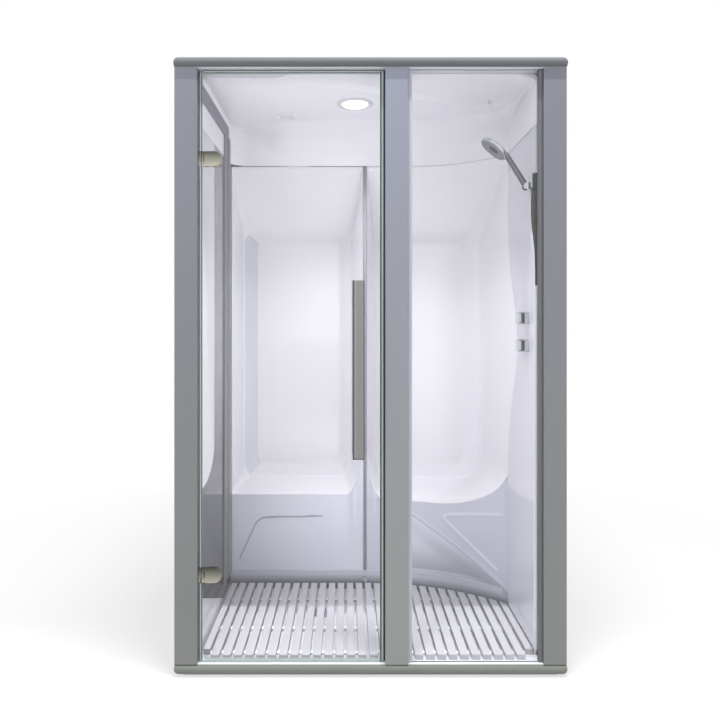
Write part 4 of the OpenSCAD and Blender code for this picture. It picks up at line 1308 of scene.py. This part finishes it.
    @staticmethod
    def raised(away: np.ndarray, line: tuple[float, float]) -> np.ndarray:
        """How far a raised line stands out at a distance from its chain: its height times a bell."""
        height, width = line
        return height * bell(away, 0.0, width)

    def left_front(self) -> np.ndarray:
        """The left bench front: flat, with a raised outline, and swept up beside the joint.

        The outline is a ridge along a chain of segments, a bell of the distance from it; what it shuts in
        draws back a little.

        Returns:
            (rows, cols, 3) points.
        """
        x = np.concatenate([np.linspace(-596, -90, 150), np.linspace(-88, -1, 60)])
        z = self.heights(self.left_foot + 2 + self.joint_rise(x), 110)
        x = np.broadcast_to(x, z.shape)
        side = chain_side(x, z, rounded_line(self.left_outline, self.outline_radius))
        inside = smoothstep(-side, -3.0, 5.0) * smoothstep(-x, 150, 260)
        depth = BENCH_DEPTH - self.raised(side, self.left_line) + self.inset * inside
        return grid(x, depth - self.joint_column(x, z), z)

    def right_front(self) -> np.ndarray:
        """The right bench front: an arc in plan that turns on to the wall, with a ridge over a hollow.

        Columns are spread by the sine of their share, so that they crowd at the wall. The fillet on to the
        wall widens downwards. The head follows the hollow's foot: one quarter ellipse at the joint and one
        at the wall.

        Returns:
            (rows, cols, 3) points.
        """
        share = np.concatenate([np.linspace(0, 0.9, 190), 0.9 + 0.1 * np.linspace(0, 1, 60)[1:]])
        x = 1 + (RIGHT_WALL - 1.02) * np.sin(share * QUARTER)
        across, up = self.turn
        turned = quarter_rise(np.clip((x - RIGHT_WALL + across) / across, 0, 1.0))
        z = self.heights(self.right_foot + 2 + self.joint_rise(x) + up * turned, 130)
        x = np.broadcast_to(x, z.shape)
        tight = smoothstep(z, 130.0, 430.0)
        depth = self.plan(x, self.foot_fillet) * (1 - tight) + self.plan(x, self.corner_fillet) * tight
        ridge = chain_side(x, z, rounded_line(self.ridge_points, self.ridge_radius))
        outline = chain_side(x, z, rounded_line(self.right_outline, self.outline_radius))
        hollow = smoothstep(-ridge, 0.0, 90.0) * smoothstep(z, 98, 124) * smoothstep(x, 60, 220)
        depth = depth + self.relief * hollow * (1 - smoothstep(x, 500, 570))
        depth = depth - self.raised(ridge, self.ridge) - self.raised(outline, self.right_line)
        return grid(x, depth - self.joint_column(x, z), z)

    def near(self, chain: Line, half: float) -> Pick:
        """The pick of faces closer to an outline than half the line's width."""
        line = rounded_line(chain, self.outline_radius)
        return lambda _, places: np.abs(chain_side(places[:, 0], places[:, 2], line)) < half

    def build(self, shop: Workshop) -> None:
        """Make and dress the seats.

        Args:
            shop: the finishes.
        """
        ridge = rounded_line(self.ridge_points, self.ridge_radius)
        # Painted shade on the left niche's bevel, picked by its normal.
        bevel = ("bevel_acrylic", lambda normals, places: (normals[:, 0] > 0.3)
                 & (places[:, 1] > self.bevel_depth))
        # Painted shade below the ridge, darker towards the bottom.
        below = ("under_ridge", lambda _, places: (chain_side(places[:, 0], places[:, 2], ridge) < -6.0)
                 & (places[:, 0] > 100.0))
        for side, points, bevels, front, finish, picks in (
                ("left", self.left_hollow(), [bevel], self.left_front(), "shaded_acrylic",
                 # Painted shade along the left outline.
                 [("grooved_acrylic", self.near(self.left_outline, 3.6))]),
                # The right bench front is in the shaded copy, painted shade.
                ("right", self.right_hollow(), [], self.right_front(), "turned_acrylic",
                 # Painted highlight along the right outline.
                 [below, ("raised_acrylic", self.near(self.right_outline, 6.0))])):
            hollow = surface(side + "_seat_hollow", points, wrap=True)
            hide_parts(side + "_seat")
            shop.dress(hollow, "white_acrylic", "cabin", bevels)
            shop.dress(surface(side + "_bench_front", front), finish, "cabin", picks)
        shop.eased("joint_strip", "strip_acrylic", "cabin", 1.5)
        shop.repaint("seat_ribs", "sealed_plywood")


@dataclass
class CeilingMoulding:
    """The moulding over the seats, with its light and its vent.

    The fold is a chain of points, x and depth, in front of which the ceiling stands up.
    """

    left_wall: float = LEFT_WALL + 0.5
    front: float = LINING.front
    back: float = WALL_TRIM.rear
    corner_x: float = 200.0
    corner_depth: float = 224.0
    corner_radius: float = 440.0
    left_corner: float = 70.0
    side_fillet: float = 16.0
    rear_fillet: float = 150.0
    flange: float = 7.0
    flange_rise: float = 14.0
    fold_points: tuple[tuple[float, float], ...] = ((-600, -70), (-355, 41), (43, 200), (170, 258),
                                                    (340, 326), (457, 422), (520, 500))
    fold_radius: float = 60.0
    fold_rise: float = 13.0
    dent: float = 5.0
    ring: Box = box_of("downlight_ring")

    def rear(self, x: np.ndarray) -> np.ndarray:
        """Depth of the moulding's rear wall: straight, then a circle round the right rear corner."""
        across = np.clip(x - self.corner_x, 0, self.corner_radius)
        return np.minimum(self.corner_depth + np.sqrt(self.corner_radius ** 2 - across ** 2), self.back)

    def plan(self) -> tuple[np.ndarray, np.ndarray, np.ndarray]:
        """The walls in plan, from the left front round the back to the right front.

        The left rear corner is a small arc and the right one the moulding's own circle. Each point has a
        fillet radius that grows from the sides' to the rear's along the corner.

        Returns:
            The points, their inward normals and their fillet radii.
        """
        corner = self.left_corner
        turn = np.linspace(0, QUARTER, 10)
        circle_x = self.corner_x + (RIGHT_WALL - self.corner_x) * np.sin(np.linspace(0, QUARTER, 60))
        circle = self.rear(circle_x)
        runs = ((np.full(30, self.left_wall), np.linspace(self.front, self.back - corner, 30)),
                (self.left_wall + corner - corner * np.cos(turn), self.back - corner + corner * np.sin(turn)),
                (np.linspace(self.left_wall + corner, self.corner_x, 50), np.full(50, self.back)),
                (circle_x, circle),
                (np.full(24, RIGHT_WALL), np.linspace(circle[-1], self.front, 24)))
        points = np.vstack([np.stack(run, -1)[min(number, 1):] for number, run in enumerate(runs)])
        along = np.gradient(points, axis=0)
        along /= np.linalg.norm(along, axis=1)[:, None]
        share = smoothstep(points[:, 1], 240.0, 640.0) * smoothstep(points[:, 0], -560.0, -330.0)
        radii = self.side_fillet + (self.rear_fillet - self.side_fillet) * share
        return points, np.stack([along[:, 1], -along[:, 0]], -1), radii

    def walls(self) -> np.ndarray:
        """The upright walls and the fillet: each point moves inwards r(1 - cos a) while it rises r sin a.

        Returns:
            (rows, cols, 3) points.
        """
        points, normals, radii = self.plan()
        rows = [grid(*points.T, SEAM + rise) for rise in (1.0, 5.0)]
        for a in np.linspace(0, QUARTER, 14):
            moved = points + normals * (radii * (1 - math.cos(a)))[:, None]
            rows.append(grid(*moved.T, CEILING - radii * (1 - math.sin(a))))
        return np.array(rows)

    def relief(self, x: np.ndarray, depth: np.ndarray) -> np.ndarray:
        """How far the ceiling stands up in front of its soft fold, less a shallow triangle at the right.

        Args:
            x: where across.
            depth: where behind the front face.

        Returns:
            The heights: the rise less the dent, smoothly ended at the fold.
        """
        fold = chain_side(x, depth, rounded_line(self.fold_points, self.fold_radius))
        dent = self.dent * smoothstep(x, 260.0, 470.0) * smoothstep(depth, 120.0, 260.0)
        return (1 - smoothstep(fold, -8.0, 8.0)) * (self.fold_rise - dent)

    def ceiling(self) -> np.ndarray:
        """The ceiling: from the fillet's top edge straight to the front edge, with the relief faded in.

        Returns:
            (rows, cols, 3) points.
        """
        edge = self.walls()[-1]
        left, right = edge[0, 0], edge[-1, 0]
        v = np.linspace(0, 1, 70)[:, None]
        x = edge[:, 0] * (1 - v) + np.linspace(left, right, len(edge)) * v
        depth = edge[:, 1] * (1 - v) + self.front * v
        inside = smoothstep(x, left, left + 80) * (1 - smoothstep(x, right - 60, right))
        return grid(x, depth, CEILING + self.relief(x, depth) * smoothstep(v, 0.0, 0.18) * inside)

    def front_flange(self) -> np.ndarray:
        """The flange behind the frame: the moulding's front section, and the same section drawn outwards.

        Returns:
            (2, cols, 3) points.
        """
        walls, edge = self.walls(), self.ceiling()[-1]
        inner = np.vstack([walls[:, 0], edge[1:-1], walls[::-1, -1]])
        out = inner.copy()
        out[:, 0] += np.sign(inner[:, 0] - (self.left_wall + RIGHT_WALL) / 2) * self.flange
        raised = np.minimum(inner[:, 2] + self.flange_rise, CEILING + self.flange_rise)
        out[:, 2] = np.where(inner[:, 2] > SEAM + 8.0, raised, inner[:, 2])
        out[:, 1] = self.front - 0.5
        return np.array([inner, out])

    def build(self, shop: Workshop) -> None:
        """Make and dress the ceiling, the downlight and the vent.

        Args:
            shop: the finishes.
        """
        skin = surface("ceiling_skin", np.vstack([self.walls(), self.ceiling()[1:]]))
        dome = creased(merge("ceiling_moulding", [skin, surface("ceiling_flange", self.front_flange())]), 60)
        r = (self.ring.right - self.ring.left) / 2
        centre = (self.ring.left + r, self.ring.front + r, CEILING)
        bezel = revolved("downlight_bezel", [(r - 19, 2), (r - 19, -3), (r - 15, -5.4), (r - 9, -6),
                                             (r - 4, -4.6), (r - 1, -1.5), (r - 1, 0)], centre, (0, 0, 1), 96)
        lens = revolved("downlight_glass", [(0.01, -13), (20, -12.5), (37, -10.5), (46, -7),
                                            (r - 19.4, -2.5), (r - 19.2, 0)], centre, (0, 0, 1), 96)
        for node, finish, slot, piece in (("ceiling_dome", "ceiling_acrylic", "acrylic", dome),
                                          ("downlight_ring", "ring_white", "ring", bezel),
                                          ("downlight_lens", "lamp_lens", "lens", lens)):
            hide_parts(node)
            shop.dress(piece, finish, "cabin")
        shop.eased("vent_grille", "vent_white", "cabin", 0.5)
        shop.repaint("downlight_body", "housing_grey")
        shop.repaint("fan_housing", "housing_grey")
        shop.repaint("fan_rotor", "matt_black")


@dataclass
class ShowerWall:
    """The right wall with its valves and hand shower, and the left wall."""

    pivot: tuple[float, float, float] = (552.0, 95.0, 1680.0)
    lean: float = 32.0
    length: float = 140.0
    slope: float = 39.0
    head_dia: float = 109.0
    head_t: float = 12.0
    front: float = LINING.front
    rear: float = WALL_TRIM.rear
    column: Box = box_of("shower_column")
    panel: float = 4.0
    notch: float = 54.0
    notch_height: float = 1590.0
    groove: float = 9.0
    groove_heights: tuple[float, float] = (1150.0, 1650.0)
    inset_heights: tuple[float, float] = (1330.0, 1722.0)
    edge_turn: float = 8.0

    def front_edge(self, z: np.ndarray) -> np.ndarray:
        """Depth of the raised panel's front edge: the wall's, and a bell steep above and slow below."""
        above, below = bell(z, self.notch_height, 112.0, 6), bell(z, self.notch_height, 115.0)
        return self.front + self.notch * np.where(z > self.notch_height, above, below)

    def wall_skin(self) -> np.ndarray:
        """The wall up to its waved rear edge, with a raised panel whose edges roll off.

        The panel is proud by its height times the product of three roll-offs: from its front edge, from its
        rear edge and from its head. The first and last columns turn round the wall's edges.

        Returns:
            (rows, cols, 3) points.
        """
        z = np.concatenate([np.linspace(self.column.foot, 1640.0, 150), np.linspace(1645.0, 1730.0, 40),
                            np.linspace(1740.0, self.column.head, 12)])[:, None]
        share = np.concatenate([np.linspace(0, 0.96, 60), np.linspace(0.962, 1.0, 14)])
        rear = WAVE.at(z) - 1.0
        depth = self.front + (rear - self.front) * share
        from_front = smoothstep(depth - self.front_edge(z), 0.0, 9.0)
        from_rear = 0.35 + 0.65 * smoothstep(rear - depth, 0.0, 7.0)
        from_head = smoothstep(1694.0 - 26.0 * smoothstep(depth, 330.0, 440.0) ** 2 - z, 0.0, 9.0)
        skin = grid(RIGHT_WALL - self.panel * from_front * from_head * from_rear, depth, z)
        edge, back = skin[:, :1].copy(), skin[:, -1:].copy()
        edge[..., 0] = RIGHT_WALL + self.edge_turn
        back[..., 0] = RIGHT_WALL + 6.0
        return np.concatenate([edge, skin, back], 1)

    def shadow_strip_points(self) -> np.ndarray:
        """The strip beside the frame, painted dark as the shade in the gap there; it is as wide as the
        panel's front edge stands back.

        Its face bulges by a half sine across, and its first column turns round the wall's front edge.

        Returns:
            (rows, cols, 3) points.
        """
        z = np.linspace(*self.inset_heights, 90)[:, None]
        share = np.linspace(0, 1, 6)
        depth = self.front + (self.front_edge(z) + 1.0 - self.front) * share
        skin = grid(RIGHT_WALL - 0.6 - 1.2 * np.sin(math.pi * share), depth, z)
        skin[:, 0, 1] = self.front - 0.8
        turned = skin[:, :1].copy()
        turned[..., 0] = RIGHT_WALL + self.edge_turn
        return np.concatenate([turned, skin], 1)

    def handset(self) -> list[Piece]:
        """The hand shower, all surfaces of revolution.

        Returns:
            A tapered bar that leans from the pivot, a disc turned about its own axis, its spray plate and the
            dark rose in it.
        """
        lean, slope = math.radians(self.lean), math.radians(self.slope)
        up = np.array([-math.sin(lean), 0.0, math.cos(lean)])
        axis = np.array([math.sin(slope), 0.0, math.cos(slope)])
        across = np.array([math.cos(slope), 0.0, -math.sin(slope)])
        length, r, t = self.length, self.head_dia / 2, self.head_t
        origin = np.array(self.pivot) + up * length - across * self.head_dia * 0.35 - axis * t * 1.6
        bar_profile = [(0.01, -4), (7, -4), (10, -1), (10.5, 10), (10.2, 60), (9.4, 120), (9, length - 4),
                       (6, length), (0.01, length)]
        disc_profile = [(r - 5, 1.2), (r - 4, 0), (r - 1.2, 0.3), (r, 2.5), (r, t - 3), (r - 2.0, t),
                        (r - 8, t + 2.2), (r * 0.62, t + 8), (r * 0.4, 2 * t - 1), (0.01, 2 * t)]
        plate_profile = [(0.01, 1.6), (r - 5.2, 1.6), (r - 4.8, 2.4), (r - 4.8, 4)]
        rose_profile = [(0.01, 0.6), (r * 0.3, 0.6), (r * 0.36, 1.8)]
        return [creased(revolved("handle_bar", bar_profile, self.pivot, up, 48), 40),
                creased(revolved("head_disc", disc_profile, origin, axis, 96), 40),
                revolved("spray_face", plate_profile, origin, axis, 96),
                revolved("spray_rose", rose_profile, origin, axis, 64)]

    def rear_upright(self) -> np.ndarray:
        """The left wall's rear upright: its section of depth and stand-off, carried straight up.

        Returns:
            (rows, cols, 3) points of a lip, a groove and a flat.
        """
        depth, off = rounded_line([(498, 0), (498, 6), (540, 7), (546, 1), (576, 1), (582, 7), (self.rear, 6),
                                   (self.rear, 0)], 2.5, 4).T
        return grid(LEFT_WALL + off, depth, np.linspace(TRAY_TOP, SEAM + 92.0, 3)[:, None])

    def header_band(self) -> np.ndarray:
        """The left wall's head band: its section of height and stand-off, carried back along the wall.

        Returns:
            (rows, cols, 3) points.
        """
        low = LINING.head
        z, off = rounded_line([(low, 0), (low, 5), (1990, 7), (1998, 2), (2044, 2), (CEILING, 0)], 2.5, 4).T
        return grid(LEFT_WALL + off, np.array([self.front, 360.0, self.rear])[:, None], z)

    def build(self, shop: Workshop) -> None:
        """Make and dress the walls and the shower.

        Args:
            shop: the finishes.
        """
        low, high = self.groove_heights
        shadow = ("shadow_line", lambda _, places: (places[:, 1] > WAVE.at(places[:, 2]) - self.groove)
                  & (places[:, 2] > low) & (places[:, 2] < high))
        skin = creased(surface("shower_wall_skin", self.wall_skin(), flip=True), 50)
        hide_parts("shower_column")
        shop.dress(skin, "wall_acrylic", "cabin", [shadow])
        # Painted shadow: a dark strip stands where the gap beside the frame is in shade.
        inset = surface("dark_glass_inset", self.shadow_strip_points(), flip=True)
        shop.dress(inset, "dark_wall_glass", "cabin")
        handle, disc, face, rose = self.handset()
        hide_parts("shower_arm")
        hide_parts("shower_head")
        # The hand shower's bar takes the shaded chrome copy, which is painted shade.
        for piece, finish, slot in ((handle, "dark_chrome", "chrome"), (disc, "chrome", "chrome"),
                                    (face, "spray_plate", "spray"), (rose, "spray_rubber", "spray")):
            shop.dress(piece, finish, "handset")
        for node, body in (("mixer_knob", "mixer"), ("diverter_knob", "diverter")):
            shop.eased(node, "chrome", body, 2.0, 3)
        shop.eased("shower_bracket", "chrome", "cabin", 0.8)
        shop.repaint("valve_body", "turned_brass")
        shop.repaint("water_pipes", "drawn_copper")
        shop.eased("left_lining", "wall_glass", "cabin", 0.8)
        trim = creased(merge("lining_trim", [surface("upright_part", self.rear_upright()),
                                             surface("header_part", self.header_band(), flip=True)]), 35)
        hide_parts("lining_frame")
        shop.dress(trim, "satin_aluminium_stile", "cabin")


@dataclass
class WetFloor:
    """The tray, its drain and the lift-out boards."""

    ease: float = 1.4
    tray_ease: float = 1.2
    batten_ease: float = 0.8
    upstand_from: float = 66.0

    def build(self, shop: Workshop) -> None:
        """Dress the floor.

        Args:
            shop: the finishes.
        """
        # Painted shadow on the tray's upstand, darker towards its foot.
        upstand = ("tray_upstand", lambda _, places: places[:, 2] > self.upstand_from)
        shop.eased("tray", "white_acrylic", "cabin", self.tray_ease, picks=[upstand])
        for side in ("left", "right"):
            body = side + "_board"
            shop.eased(side + "_slats", "slat_white", body, self.ease)
            # The battens are painted light.
            shop.eased(side + "_battens", "batten_grey", body, self.batten_ease, 1)
        shop.repaint("drain_flange", "brushed_stainless")
        shop.repaint("drain_cover", "chrome")
        shop.repaint("steam_nozzle", "chrome")


class OuterShell:
    """Sheets, posts, rails, base and what stands behind the seats."""

    PAINT: dict[str, str] = {
        "base_frame": "dark_powder_coat", "levelling_feet": "matt_black", "rear_posts": "dark_powder_coat",
        "roof_rails": "dark_powder_coat", "panel_screws": "screw_steel", "heating_element": "drawn_copper",
        "steam_pipe": "foam_sleeve", "drain_valve": "turned_brass", "drain_lever": "red_plastic",
        "isolator_knob": "red_plastic",
    }

    def build(self, shop: Workshop) -> None:
        """Dress the shell.

        Args:
            shop: the finishes.
        """
        for node in ("left_cladding", "right_cladding", "back_cladding", "service_panel", "roof_panel"):
            shop.eased(node, "sheet_aluminium", "cabin", 0.6, 1)
        shop.eased("steam_tank", "brushed_stainless", "cabin", 1.5)
        shop.eased("control_box", "housing_grey", "cabin", 2.0)
        for node, finish in self.PAINT.items():
            shop.repaint(node, finish)


# The studio


@dataclass(frozen=True)
class Lamp:
    """A soft lamp: where it stands, where it looks, its size in metres and its power in watts.

    One with a height is a rectangle; the spread, in degrees, narrows its beam.
    """

    name: str
    at: tuple[float, float, float]
    to: tuple[float, float, float]
    size: float
    power: float
    spread: float = 180.0
    height: float = 0.0

    def hang(self) -> None:
        """Put the lamp in the scene, unseen by the eye, by mirrors and through glass."""
        data = bpy.data.lights.new(self.name, "AREA")
        data.shape = "RECTANGLE" if self.height else "DISK"
        data.size = self.size
        data.size_y = self.height or self.size
        data.energy = self.power
        data.spread = math.radians(self.spread)
        lamp = linked(self.name, data)
        lamp.location = self.at
        lamp.rotation_euler = (Vector(self.to) - Vector(self.at)).to_track_quat("-Z", "Y").to_euler()
        lamp.visible_glossy = False
        lamp.visible_camera = False
        lamp.visible_transmission = False


@dataclass
class Studio:
    """Floor, background, lamps and camera."""

    lens: float = 32.5
    eye: tuple[float, float, float] = (-0.083, -2.75, 1.199)
    shift: tuple[float, float] = (0.0194, -0.0514)
    ambient: float = 0.52
    mirrored: float = 0.95
    dark_ahead: float = 0.36
    dark_below: float = 0.6
    floor_reach: float = 12.0
    floor_grey: float = 0.86
    fade_from: float = 0.9
    fade_to: float = 2.6
    near_white: float = 0.6
    lamps: tuple[Lamp, ...] = (
        Lamp("key", (-2.2, -4.2, 3.6), (0.0, 0.0, 0.9), 2.4, 82.0),
        Lamp("fill", (2.4, -4.0, 2.0), (0.0, 0.0, 1.0), 2.4, 14.0),
        Lamp("steep_key", (0.25, -1.1, 4.6), (0.25, -0.4, 0.0), 1.3, 190.0, height=0.03),
        Lamp("cabin_light", (-0.048, -0.224, 2.03), (-0.048, 0.0, 0.0), 0.10, 3.6, spread=100.0),
        Lamp("cabin_wash", (-0.27, -0.48, 1.26), (-0.27, 0.5, 1.26), 1.0, 2.8, spread=155.0, height=1.5),
    )

    def background(self) -> None:
        """A white world for the eye and glass, and a dimmer one for matt surfaces.

        What mirrors see of it darkens downwards, and forwards by the sixth power of how far ahead they look.
        """
        world = bpy.data.worlds.new("white_room")
        bpy.context.scene.world = world
        world.use_nodes = True
        tree = world.node_tree
        coords = add(tree, "TexCoord")
        axes = add(tree, "SeparateXYZ", {0: coords.outputs["Generated"]}).outputs
        ahead = maths(tree, "MAXIMUM", maths(tree, "MULTIPLY", axes["Y"], -1.0))
        lobe = maths(tree, "MULTIPLY", maths(tree, "POWER", ahead, 6.0), self.dark_ahead)
        below = maths(tree, "MAXIMUM", maths(tree, "MULTIPLY", axes["Z"], -self.dark_below))
        mirror = maths(tree, "SUBTRACT", maths(tree, "SUBTRACT", self.mirrored, lobe), below)
        rays = add(tree, "LightPath").outputs
        glossy = maths(tree, "MULTIPLY", rays["Is Glossy Ray"], mirror)
        matt = maths(tree, "MULTIPLY", rays["Is Diffuse Ray"], self.ambient)
        strongest = maths(tree, "MAXIMUM", either_ray(tree, "Camera", "Transmission"), glossy)
        strength = maths(tree, "MAXIMUM", strongest, matt)
        feed(tree, tree.nodes["Background"], {"Color": WHITE, "Strength": strength})

    def floor(self) -> None:
        """A pale level floor that keeps the object's shadow, lifted to white for the eye and through glass.

        The lift grows with the distance from the cabin's middle.
        """
        reach = self.floor_reach
        corners = np.array([[-reach, -reach, 0], [reach, -reach, 0], [reach, reach, 0], [-reach, reach, 0]])
        floor = new_mesh("studio_floor", corners, np.array([[0, 1, 2, 3]]))
        floor.visible_glossy = False
        mat, tree, bsdf = new_material("pale_floor")
        feed(tree, bsdf, {"Base Color": (*[self.floor_grey] * 3, 1.0), "Roughness": 0.9})
        white = add(tree, "Emission", {"Color": WHITE})
        coords = add(tree, "TexCoord")
        away = add(tree, "VectorMath", {0: coords.outputs["Object"]}, operation="LENGTH")
        lift = add(tree, "MapRange", {"Value": away.outputs["Value"], "From Min": self.fade_from,
                                      "From Max": self.fade_to, "To Min": self.near_white, "To Max": 1.0})
        seen = either_ray(tree, "Camera", "Transmission")
        mixed(tree, maths(tree, "MULTIPLY", seen, lift.outputs["Result"]), bsdf, white)
        floor.data.materials.append(mat)

    def camera(self) -> None:
        """A level camera in front of the cabin, with its frame shifted."""
        data = bpy.data.cameras.new("eye")
        data.lens = self.lens
        data.sensor_width = 36.0
        data.shift_x, data.shift_y = self.shift
        eye = linked("eye", data)
        eye.location = self.eye
        eye.rotation_euler = (QUARTER, 0.0, 0.0)
        bpy.context.scene.camera = eye

    def build(self) -> None:
        """Set the studio up."""
        bpy.context.scene.view_settings.view_transform = "Standard"
        self.camera()
        self.background()
        self.floor()
        for lamp in self.lamps:
            lamp.hang()


def main() -> None:
    """Build the cabin in order and report each piece."""
    logging.basicConfig(level=logging.INFO, format="%(name)s: %(message)s")
    Studio().build()
    shop = Workshop()
    for part in (FrontFrame(), GlazedDoor(), SeatMouldings(), CeilingMoulding(), ShowerWall(), WetFloor(),
                 OuterShell()):
        part.build(shop)
        LOG.info("%s done, %d pieces so far", type(part).__name__, shop.count)


if __name__ == "__main__":
    main()
